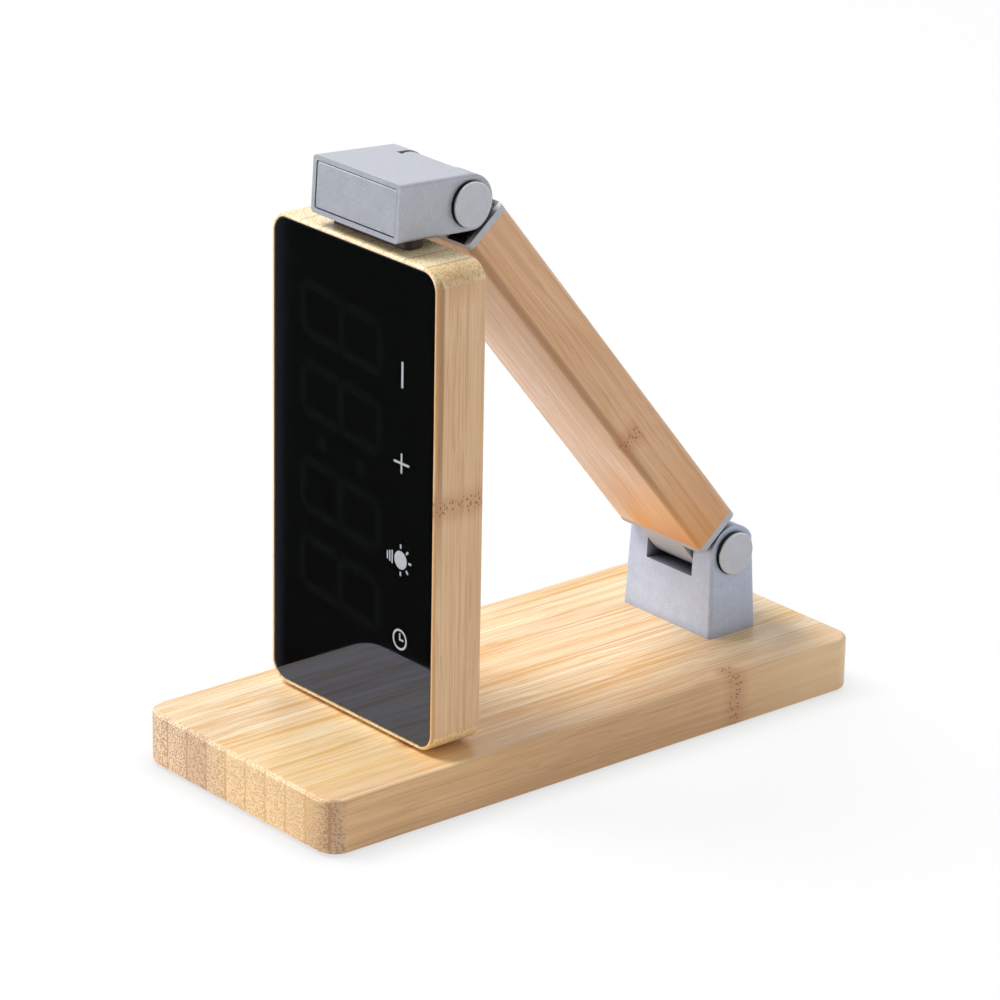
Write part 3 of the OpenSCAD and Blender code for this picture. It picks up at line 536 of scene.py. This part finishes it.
# Hinge pins, turned from steel, run through both ears of a clevis and the tongue between them. A flat
# cap is pressed on each end over a black washer, and nylon washers rub on the tongue for friction. The
# caps are satin, the rubber is matt and the moulded nylon milky.
cap_silver = silver_coat("silver lacquer on turned caps", "#b6b9c0", "#cacdd4", metal=0.15)
washer_black = plain_finish("black washer rubber", "#0a0a0a", "#161616", grain=0.6, rough=(0.6, 0.75))
nylon = plain_finish("natural nylon", "#dcd9cc", "#eeece2", grain=0.9, rough=(0.42, 0.55),
                     Subsurface_Weight=0.25, Subsurface_Scale=1.5 * MM)
for end, body in (("lower", "base"), ("upper", "head")):
    dress(end + "_hinge_pin", end + "_steel_pin", body, "steel", bright_steel, bevel=0.2 * MM)
    dress(end + "_pin_caps", end + "_caps", body, "cap_metal", cap_silver, worn_and_highlit_rim, bevel=0.22 * MM)
    dress(end + "_cap_washers", end + "_rubber_washers", body, "black_washer", washer_black, bevel=0.15 * MM)
    dress(end + "_friction_washers", end + "_nylon_washers", body, "nylon", nylon)

# Arm. One laminated bamboo bar with rounded edges. Two silver castings close its ends, each a plate
# with a tongue for the hinge and two posts glued into the end grain. Its bamboo is a little pinker than
# the foot's.
pins = [middle_of("lower_hinge_pin"), middle_of("upper_hinge_pin")]
arm_grain = bamboo(
    "lacquered bamboo, arm", (pins[0] + pins[1]) / 2, along=(pins[1] - pins[0]).normalized(),
    across=(1, 0, 0), cream="#fbe9da", gold="#f2cdaa", flank_and_shade="#f0c090", flank_and_shade_gold="#cd9056",
    ends=("#e8c7a1", "#9a6e48", "#94633c"),
    knots=[(-19.5, 17, -4.0, 2.0, 3.2)],
    # Painted shade: a dark line on the lower right edge. Painted light: orange bounce glow low on the
    # underside.
    stains_and_painted_light=[(17, -7.2, 2.2, 0.6, -70, -30, "#8a541c"), (5, -8, 20, 0.92, -32, -66, "#dc8c00")],
    seed=0.45)
dress("arm_bar", "bamboo_arm", "arm", "bamboo", arm_grain)
for end in ("lower", "upper"):
    dress(end + "_arm_fitting", end + "_tongue", "arm", "cast_metal", silver, worn_and_highlit_rim, bevel=0.25 * MM)

# Neck pad. A dark red-brown pad of vulcanised fibre, matt and finely mottled, cut to a wedge. Here it is
# drawn near black, as painted shade in the gap under the bracket. It levels the case under the tipped
# bracket, and two screws run through it.
fibre = plain_finish("vulcanised fibre", "#2c1a10", "#3e2618", grain=0.5, rough=(0.55, 0.7))
dress("head_neck", "neck_pad", "head", "fibre", fibre, bevel=0.2 * MM)

# Clock case. Milled from laminated bamboo with the grain upright, so its top shows sawn ends and its
# sides long streaks. A thin lip stands round the panel.
case_grain = bamboo(
    "lacquered bamboo, case", middle_of("head_case"), along=(0, 0, 1), across=(1, 0, 0),
    cream="#f8ddae", gold="#e8b570", flank_and_shade="#e8c498", flank_and_shade_gold="#ce9f6a",
    ends=("#ffeec2", "#dcae68", "#cf9f60"),
    knots=[(2, 33, 0, 2.5, 9.0)],
    # Painted shade: the first two darken the front right corner. The third darkens the top of the right side.
    stains_and_painted_light=[(34, -6.6, 1.3, 0.7, -25, 15, "#8a5a28"), (33.5, -8, 1.1, 0.5, -66, -60, "#c88838"),
            (39, 0, 9.5, 0.6, 54, 64, "#b8742c")],
    seed=23.1)
dress("head_case", "bamboo_case", "head", "bamboo", case_grain)

# Front panel. Smoked acrylic, black and polished, laid into the case just under the lip. It mirrors
# the foot in front of it; the numerals behind it are switched off and show as faint shapes.


def polished(name, base, rough=0.03):
    """Polished smoked acrylic, with fine wipe marks in its gloss. Its coat of hard lacquer mirrors more
    than bare acrylic does, and cools what it mirrors."""
    wipe, wipe_haze = 9 * MM, 0.03
    material, tree = fresh_material(name)
    where = add(tree, "ShaderNodeTexCoord").outputs["Object"]
    wipes = add(tree, "ShaderNodeTexNoise", where, 1 / wipe, 3.0)
    gloss = add(tree, "ShaderNodeMapRange", wipes, *SPREAD, rough, rough + wipe_haze)
    acrylic = add(tree, "ShaderNodeBsdfPrincipled", named={
        "Base Color": linear(base), "Roughness": gloss, "IOR": 2.05, "Specular Tint": (0.4, 0.55, 1.0, 1.0)})
    add(tree, "ShaderNodeOutputMaterial", acrylic)
    return material


smoked = polished("smoked acrylic", "#0b0c0b")
dress("front_panel", "black_panel", "head", "panel_acrylic", smoked, bevel=0.3 * MM)

# Ghost numerals. Four numerals and a colon lie on their side and read upward. Each is seven bars
# pointed at both ends, leaning; they show where the panel is thinner over the light wells.
ghosts, given = geometry_tree("seven-bar numerals", **{word: "Float" for word in (
    "Bar", "Across Stretch", "Upright Stretch", "Across", "Upright", "Lean", "Thickness", "Dot Radius")})
x, y, z = add(ghosts, "ShaderNodeSeparateXYZ", add(ghosts, "GeometryNodeInputPosition")).outputs
hexagon = add(ghosts, "GeometryNodeMeshCone", 6, 1, 1, 1.0, 1.0, given["Thickness"], fill_type="NGON")
end_side = add(ghosts, "ShaderNodeMath", x, operation="SIGN")
corner_height = math.sin(math.radians(60))
half_breadth = add(ghosts, "ShaderNodeMath", given["Bar"], 0.5 / corner_height, operation="MULTIPLY")
wide = add(ghosts, "ShaderNodeMath", y, half_breadth, operation="MULTIPLY")
bars = {}
for word in ("Across", "Upright"):
    reach = add(ghosts, "ShaderNodeMath", end_side, given[word + " Stretch"], operation="MULTIPLY")
    long = add(ghosts, "ShaderNodeMath", x, given["Bar"], reach, operation="MULTIPLY_ADD")
    bars[word] = add(ghosts, "GeometryNodeSetPosition", hexagon,
                     named={"Position": add(ghosts, "ShaderNodeCombineXYZ", long, wide, z)})
below = add(ghosts, "ShaderNodeMath", given["Upright"], -1.0, operation="MULTIPLY")
three = add(ghosts, "GeometryNodeMeshLine", 3, add(ghosts, "ShaderNodeCombineXYZ", 0.0, below, 0.0),
            add(ghosts, "ShaderNodeCombineXYZ", 0.0, given["Upright"], 0.0))
four = add(ghosts, "GeometryNodeMeshGrid", given["Across"], given["Upright"], 2, 2)
placed = []
for points, word, turned in ((three, "Across", 0.0), (four, "Upright", math.radians(90))):
    copies = add(ghosts, "GeometryNodeInstanceOnPoints", points,
                 named={"Instance": bars[word], "Rotation": (0.0, 0.0, turned)})
    placed.append(add(ghosts, "GeometryNodeRealizeInstances", copies))
numeral = joined(ghosts, "GeometryNodeJoinGeometry", placed)
lean = add(ghosts, "ShaderNodeMath", y, given["Lean"], operation="MULTIPLY")
leaning = add(ghosts, "ShaderNodeCombineXYZ", lean)
numeral = add(ghosts, "GeometryNodeSetPosition", numeral, named={"Offset": leaning})
lowest = add(ghosts, "ShaderNodeMath", given["Upright"], -0.5, operation="MULTIPLY")
two = add(ghosts, "GeometryNodeMeshLine", 2, add(ghosts, "ShaderNodeCombineXYZ", 0.0, lowest, 0.0),
          add(ghosts, "ShaderNodeCombineXYZ", 0.0, given["Upright"], 0.0))
dot = add(ghosts, "GeometryNodeMeshCone", round_sides, 1, 1, given["Dot Radius"], given["Dot Radius"],
          given["Thickness"], fill_type="NGON")
colon = add(ghosts, "GeometryNodeInstanceOnPoints",
            add(ghosts, "GeometryNodeSetPosition", two, named={"Offset": leaning}), named={"Instance": dot})
numerals = add(ghosts, "GeometryNodeInstanceOnPoints", given["Places"], named={"Instance": numeral})
end_tree(ghosts, given, joined(ghosts, "GeometryNodeJoinGeometry", [colon, numerals]))

low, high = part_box("digit_reflector")
bar = 2.6 * MM
bar_gap = 0.35 * MM
slant = math.tan(math.radians(6.4))
side_margin, end_margin = 2 * MM, 1.5 * MM
digit_gap, colon_room = 6 * MM, 5 * MM
colon_dot = 2 * MM
digit_height = high[0] - low[0] - 2 * side_margin
pitch = (high[2] - low[2] - 2 * end_margin - slant * digit_height) / 4
colon_pitch = pitch + colon_room
across = pitch - digit_gap - bar
upright = (digit_height - bar) / 2
face_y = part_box("front_panel")[0][1]
proud = 0.015 * MM
sunk = 0.01 * MM
ghost_acrylic = polished("smoked acrylic over the light wells", "#101211")
digits = [(side * (colon_pitch / 2 + n * pitch), 0, 0) for side in (-1, 1) for n in (0, 1)]
ghost = made_by(ghosts, "ghost_numerals", digits, {
    "Bar": bar, "Across Stretch": across / 2 - bar_gap - bar, "Across": across,
    "Upright Stretch": upright / 2 - bar_gap - bar, "Upright": upright, "Lean": slant,
    "Thickness": proud + sunk, "Dot Radius": colon_dot}, ghost_acrylic)

# Made flat along X, they now go up the panel's face.
middle = middle_of("digit_reflector")
ghost.data.transform(Matrix(((0, -1, 0, middle[0]), (0, 0, -1, face_y + sunk), (1, 0, 0, middle[2]),
                             (0, 0, 0, 1))))
settle(ghost, "head", "panel_acrylic")

# Touch marks, screen-printed in pale grey ink over the springs: less, more, lamp, and a small dial for
# the clock. The ink lies thin and dull on the gloss.
touch_x = middle_of("touch_springs")[0]
grey_ink = plain_finish("pale grey printing ink", "#9c9ea0", "#adafb1", grain=0.4, rough=(0.5, 0.65),
                        Specular_IOR_Level=0.2)


def bar_outline(x, z, length, breadth, degrees=0):
    """The corners of a bar about (x, z), its length turned from +X towards +Z, in mm."""
    c, s = math.cos(math.radians(degrees)), math.sin(math.radians(degrees))
    corners = ((-length / 2, -breadth / 2), (length / 2, -breadth / 2), (length / 2, breadth / 2),
               (-length / 2, breadth / 2))
    return [(x + c * a - s * b, z + s * a + c * b) for a, b in corners]


def printed(name, z, outlines):
    """Closed plates of ink on those outlines, in mm about the mark's middle."""
    body = bmesh.new()
    for outline in outlines:
        back, front = ([body.verts.new((touch_x + a * MM, depth, z + b * MM)) for a, b in outline]
                       for depth in (face_y + sunk, face_y - proud))
        body.faces.new(back)
        body.faces.new(reversed(front))
        for i in range(len(back)):
            j = (i + 1) % len(back)
            body.faces.new((back[j], back[i], front[i], front[j]))
    bmesh.ops.recalc_face_normals(body, faces=body.faces)
    mesh = bpy.data.meshes.new(name)
    body.to_mesh(mesh)
    body.free()
    piece = bpy.data.objects.new(name, mesh)
    bpy.context.scene.collection.objects.link(piece)
    settle(piece, "head", "white_board", finish=[grey_ink])


mark_heights = sorted([(low[2] + high[2]) / 2 for low, high in solids_of("touch_springs")], reverse=True)
around = 40
turns = [math.tau * i / around for i in range(around)]
printed("less_mark", mark_heights[0], [bar_outline(0, 0, length=7.0, breadth=0.8, degrees=90)])

arm_x, arm_z, stroke = 3.1, 2.7, 0.32
cross = [(-arm_x, -stroke), (-stroke, -stroke), (-stroke, -arm_z), (stroke, -arm_z), (stroke, -stroke),
         (arm_x, -stroke), (arm_x, stroke), (stroke, stroke), (stroke, arm_z), (-stroke, arm_z),
         (-stroke, stroke), (-arm_x, stroke)]
printed("more_mark", mark_heights[1], [cross])

bulb, ray_reach, first_beam, beam_pitch = 2.5, 3.75, 3.4, 0.95
disc = [(bulb * math.cos(t), bulb * math.sin(t)) for t in turns]
rays = [bar_outline(ray_reach * math.cos(math.radians(d)), ray_reach * math.sin(math.radians(d)),
                    length=1.15, breadth=0.6, degrees=d) for d in (-90, -45, 0, 45, 90)]
beams = [bar_outline(-first_beam - beam_pitch * i, 0, length, breadth=0.5, degrees=90)
         for i, length in enumerate((3.6, 3.0, 2.2))]
printed("lamp_mark", mark_heights[2], [disc] + beams + rays)

inner, outer, step = 2.3, 2.9, turns[1]
dial = [[(r * math.cos(t), r * math.sin(t)) for r, t in (
    (inner, start), (outer, start), (outer, start + step), (inner, start + step))] for start in turns]
hands = [bar_outline(0, 0.75, length=2.0, breadth=0.55, degrees=90),
         bar_outline(0.9, 0, length=1.2, breadth=0.55)]
printed("dial_mark", mark_heights[3], dial + hands)

# Display. A moulded black block of light wells stands in front of the green board, which carries one
# diode for each well. Coiled springs carry the touch of a finger from the panel to the board. The block
# is satin, the board's mask shines over its copper, the diodes are yellow and the springs gilt.
black_abs = plain_finish("black moulded plastic", "#141516", "#1f2022", grain=0.6, rough=(0.45, 0.6))
solder_mask = plain_finish("green solder mask over copper", "#123f2a", "#1d5c3c", grain=2.2,
                           rough=(0.3, 0.42), relief=0.05)
phosphor = plain_finish("diode of yellow phosphor in white", "#e6dfb4", "#f6f1d8", grain=0.4,
                        rough=(0.25, 0.4))
spring_steel = plain_finish("gilt spring steel", "#a98643", "#d2b26a", grain=0.4, rough=(0.25, 0.4),
                            Metallic=1.0)
dress("digit_reflector", "light_wells", "head", "black_abs", black_abs)
dress("display_board", "green_board", "head", "circuit_board", solder_mask, bevel=0.08 * MM)

diodes, given = geometry_tree("surface-mounted diode", Size="Vector", Base="Vector", Lens_Radius="Float",
                              Lens_Height="Float", Turn="Vector")
cube = add(diodes, "GeometryNodeMeshCube", given["Size"])
frame_block = add(diodes, "GeometryNodeTransform", cube, given["Base"])
lens_sides = 20
top_share, lens_share, block_share = 0.7, 0.38, 0.7
lens_top = add(diodes, "ShaderNodeMath", given["Lens_Radius"], top_share, operation="MULTIPLY")
lens = add(diodes, "GeometryNodeMeshCone", lens_sides, 1, 1, lens_top, given["Lens_Radius"],
           given["Lens_Height"], fill_type="NGON")
diode = joined(diodes, "GeometryNodeMeshBoolean", [frame_block, lens], "Mesh 2", operation="UNION",
               solver="EXACT")
end_tree(diodes, given, add(diodes, "GeometryNodeInstanceOnPoints", given["Places"],
                            named={"Instance": diode, "Rotation": given["Turn"]}))
for node, name, facing in (("digit_diodes", "numeral_diodes", -1), ("lamp_diodes", "light_diodes", 1)):
    boxes = solids_of(node)
    size = boxes[0][1] - boxes[0][0]
    block = size[1] * block_share
    places = [((low[0] + high[0]) / 2, high[1] if facing < 0 else low[1], (low[2] + high[2]) / 2)
              for low, high in boxes]
    sizes = {"Size": (size[0], size[2], block), "Base": (0.0, 0.0, block / 2), "Lens_Height": size[1],
             "Lens_Radius": min(size[0], size[2]) * lens_share,
             "Turn": (math.radians(-90 * facing), 0.0, 0.0)}
    settle(made_by(diodes, name, places, sizes, phosphor), "head", "diode", node)

coils, given = geometry_tree("touch spring", Radius="Float", Height="Float", Wire="Float", Turns="Float")
path = add(coils, "GeometryNodeCurveSpiral", round_sides, given["Turns"], given["Radius"], given["Radius"],
           given["Height"], False)
wire = add(coils, "GeometryNodeCurvePrimitiveCircle", named={"Resolution": 10, "Radius": given["Wire"]})
coil = add(coils, "GeometryNodeCurveToMesh", path, wire, named={"Fill Caps": True})
coil = add(coils, "GeometryNodeTransform", coil, add(coils, "ShaderNodeCombineXYZ", 0.0, 0.0, given["Wire"]))
end_tree(coils, given, add(coils, "GeometryNodeInstanceOnPoints", given["Places"],
                           named={"Instance": coil, "Rotation": (math.radians(-90), 0.0, 0.0)}))
boxes = solids_of("touch_springs")
size = boxes[0][1] - boxes[0][0]
places = [((low[0] + high[0]) / 2, low[1], (low[2] + high[2]) / 2) for low, high in boxes]
wire_radius = 0.24 * MM
springs = made_by(coils, "coiled_springs", places, {
    "Radius": size[0] / 2 - wire_radius, "Height": size[1] - 2 * wire_radius, "Wire": wire_radius,
    "Turns": 4.0}, spring_steel)
settle(springs, "head", "spring_brass", "touch_springs")

# Buzzer. A moulded black can with a sound hole in its face, soldered to the board's back. Its plastic
# is the same satin black as the light wells.
low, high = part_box("buzzer")
radius, height = (high[0] - low[0]) / 2, high[1] - low[1]
hole_radius, hole_depth_share, chamfer = 0.9 * MM, 0.35, 0.3 * MM
profile = [(hole_radius, height * hole_depth_share), (hole_radius, 0), (radius - chamfer, 0),
           (radius, chamfer), (radius, height)]
body = bmesh.new()
rings = [[body.verts.new((r * math.cos(t), r * math.sin(t), h)) for t in turns] for r, h in profile]
for near, far in zip(rings, rings[1:]):
    for i in range(len(turns)):
        j = (i + 1) % len(turns)
        body.faces.new((near[i], near[j], far[j], far[i]))
body.faces.new(rings[0])
body.faces.new(rings[-1])
bmesh.ops.recalc_face_normals(body, faces=body.faces)
mesh = bpy.data.meshes.new("buzzer_can")
body.to_mesh(mesh)
body.free()

# Made face down, it now faces the rear.
middle = middle_of("buzzer")
mesh.transform(Matrix(((1, 0, 0, middle[0]), (0, 0, -1, high[1]), (0, 1, 0, middle[2]), (0, 0, 0, 1))))
mesh.shade_smooth()
mesh.set_sharp_from_angle(angle=math.radians(35))
can = bpy.data.objects.new("buzzer_can", mesh)
bpy.context.scene.collection.objects.link(can)
settle(can, "head", "black_abs", "buzzer", finish=[black_abs])

# Cell and tray. The cell is a soft pouch of laminated aluminium foil, heat-sealed, dull and crinkled. The
# moulded black tray holds it, the display and the lamp, and is screwed into the case.
foil = plain_finish("laminated aluminium foil", "#a3a6aa", "#cdd0d4", grain=3.0, rough=(0.25, 0.45),
                    relief=0.15, Metallic=0.9)
dress("battery_cell", "foil_cell", "head", "battery_foil", foil, bevel=0.9 * MM)
dress("chassis", "inner_tray", "head", "black_abs", black_abs)

# Charging socket, folded from bright plated steel strip, with its contact tongue inside. It lies in the
# case's left side, soldered to the board.
dress("usb_socket", "charging_socket", "head", "steel", bright_steel, bevel=0.06 * MM)

# Lamp. A white board with two rows of diodes lies behind a moulded lens of opal acrylic, which scatters
# their light evenly and closes the case's back. The lens is milky, smooth and nearly white.
white_mask = plain_finish("white solder mask", "#e2e4e6", "#f1f2f3", grain=2.0, rough=(0.3, 0.42))
opal = plain_finish("opal acrylic", "#f2f1ed", "#f6f5f1", grain=6.0, rough=(0.34, 0.38),
                    Subsurface_Weight=0.4, Subsurface_Scale=2 * MM, Coat_Weight=0.3)
dress("lamp_board", "lamp_plate", "head", "white_board", white_mask, bevel=0.08 * MM)
dress("lamp_diffuser", "lamp_lens", "head", "opal_acrylic", opal, bevel=0.25 * MM)

# Studio. A white paper sweep, a broad soft lamp high at the left front, a cool one low beside it and a
# weak one low at the right rear. The camera stands where the photograph was taken from, about 1.3 m away
# with a long lens.
target = Vector((4.486, -7.244, 67.777)) * MM
camera_place = Vector((916.08, -783.18, 523.61)) * MM
back = (camera_place - target).normalized()
level_right = Vector((0, 0, 1)).cross(back).normalized()
level_up = back.cross(level_right)
roll = math.radians(1.028)
right = level_right * math.cos(roll) + level_up * math.sin(roll)
camera_data = bpy.data.cameras.new("camera")
camera_data.sensor_width = 36
camera_data.lens = 174.85
camera = bpy.data.objects.new("camera", camera_data)
camera.matrix_world = (Matrix.Translation(camera_place)
                       @ Matrix((right, back.cross(right), back)).transposed().to_4x4())
bpy.context.scene.collection.objects.link(camera)
bpy.context.scene.camera = camera


def seen_directly(tree):
    """1 for what the camera, a mirror or a clear piece shows, 0 for soft light."""
    path = add(tree, "ShaderNodeLightPath")
    mirrored = add(tree, "ShaderNodeMath", path.outputs["Is Camera Ray"], path.outputs["Is Glossy Ray"],
                   operation="MAXIMUM")
    return add(tree, "ShaderNodeMath", mirrored, path.outputs["Is Transmission Ray"], operation="MAXIMUM")


world = bpy.data.worlds.new("studio")
bpy.context.scene.world = world
world.use_nodes = True
tree = world.node_tree
tree.nodes.clear()
ambient_strength = 0.45
ambient = add(tree, "ShaderNodeBackground", linear("#f4f6fa"), ambient_strength)
white = add(tree, "ShaderNodeBackground", linear("#ffffff"), 1.0)
add(tree, "ShaderNodeOutputWorld", add(tree, "ShaderNodeMixShader", seen_directly(tree), ambient, white))


def soft_lamp(name, place, size, power, colour="#ffffff"):
    """A round lamp of that size, in metres, that looks at the clock."""
    data = bpy.data.lights.new(name, "AREA")
    data.shape = "DISK"
    data.size = size
    data.energy = power
    data.color = linear(colour)[:3]
    lamp = bpy.data.objects.new(name, data)
    lamp.location = place
    clock_middle = Vector((0, 0, 0.05))
    lamp.rotation_euler = (Vector(place) - clock_middle).to_track_quat("Z", "Y").to_euler()
    bpy.context.scene.collection.objects.link(lamp)


def card(name, points, material, mirror_only=True):
    """A flat staged card with those corners. One for mirrors only shows in gloss and nowhere else."""
    mesh = bpy.data.meshes.new(name)
    mesh.from_pydata(points, [], [range(len(points))])
    mesh.materials.append(material)
    piece = bpy.data.objects.new(name, mesh)
    bpy.context.scene.collection.objects.link(piece)
    piece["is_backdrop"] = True
    if mirror_only:
        piece.visible_camera = False
        piece.visible_diffuse = False
        piece.visible_shadow = False
        piece.visible_transmission = False


soft_lamp("key", (-0.75, -0.55, 1.35), size=0.7, power=22)
soft_lamp("front", (-0.8, -1.1, 0.15), size=0.5, power=7.5, colour="#e6eeff")
soft_lamp("right", (0.7, 0.85, 0.15), size=0.4, power=1.4)

# The sweep shines by itself, so shadows on it are faint; a painted contact shadow darkens it round the feet.
paper_white, tree = fresh_material("white paper sweep")
paper = add(tree, "ShaderNodeBsdfDiffuse", linear("#ffffff"))
contact_reach = 9 * MM
shut_off, clear, darkest = 0.4, 0.95, 0.8
near_foot = add(tree, "ShaderNodeAmbientOcclusion", named={"Distance": contact_reach}, samples=6)
contact = add(tree, "ShaderNodeMapRange", near_foot.outputs["AO"], shut_off, clear, darkest, 1.0)
white = add(tree, "ShaderNodeEmission", linear("#ffffff"), contact)
white_share = 0.9
share = add(tree, "ShaderNodeMath", seen_directly(tree), white_share, operation="MULTIPLY")
add(tree, "ShaderNodeOutputMaterial", add(tree, "ShaderNodeMixShader", share, paper, white))
reach = 4
ground = -0.02 * MM
card("floor", [(x * reach, y * reach, ground) for x, y in ((-1, -1), (1, -1), (1, 1), (-1, 1))], paper_white,
     mirror_only=False)

# A black card round the foot's left and front keeps the panel dark. It is a shade lighter where the
# last 5 mm of the panel's left side look: between two lines from the camera's mirror image.
hazy = 5 * MM
most_glow = 0.19
card_black, tree = fresh_material("black studio card")
mirror_place = Vector((camera_place.x, 2 * face_y - camera_place.y, 0))
where = add(tree, "ShaderNodeTexCoord").outputs["Object"]
off = add(tree, "ShaderNodeVectorMath", where, mirror_place, operation="SUBTRACT")
off_x, off_y, _ = add(tree, "ShaderNodeSeparateXYZ", off).outputs
aside = add(tree, "ShaderNodeMath", off_x, off_y, operation="DIVIDE")
panel_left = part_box("front_panel")[0][0]
rim_slope, inner_slope = ((x - camera_place.x) / (face_y - mirror_place.y)
                          for x in (panel_left, panel_left + hazy))
glow = add(tree, "ShaderNodeMapRange", aside, inner_slope, rim_slope, 0.0, most_glow, **SMOOTH)
add(tree, "ShaderNodeOutputMaterial", add(tree, "ShaderNodeEmission", linear("#f2e6dc"), glow))
low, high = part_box("base_board")
edge = 0.5 * MM
near, far = 0.3, 0.9
left, front, level = low[0] - edge, low[1] - edge, 0.4 * MM
corners = ((-far, -far), (near, -far), (near, front), (left, front), (left, near), (-far, near))
card("low_black_card", [(x, y, level) for x, y in corners], card_black)

# Another stands behind the camera, so that edges that face it have no gloss.
plain_black, tree = fresh_material("plain black card")
add(tree, "ShaderNodeOutputMaterial", add(tree, "ShaderNodeEmission", linear("#000000"), 0.0))
card_radius, card_distance, card_corners = 0.6, 0.15, 24
behind = camera_place + back * card_distance
round_about = [math.tau * i / card_corners for i in range(card_corners)]
card("camera_black_card", [behind + (right * math.cos(t) + back.cross(right) * math.sin(t)) * card_radius
                           for t in round_about], plain_black)
bpy.context.scene.view_settings.view_transform = "Standard"

boxes = {"cad": [list(corner) for corner in cad_box], "visual": [list(corner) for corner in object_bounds()]}
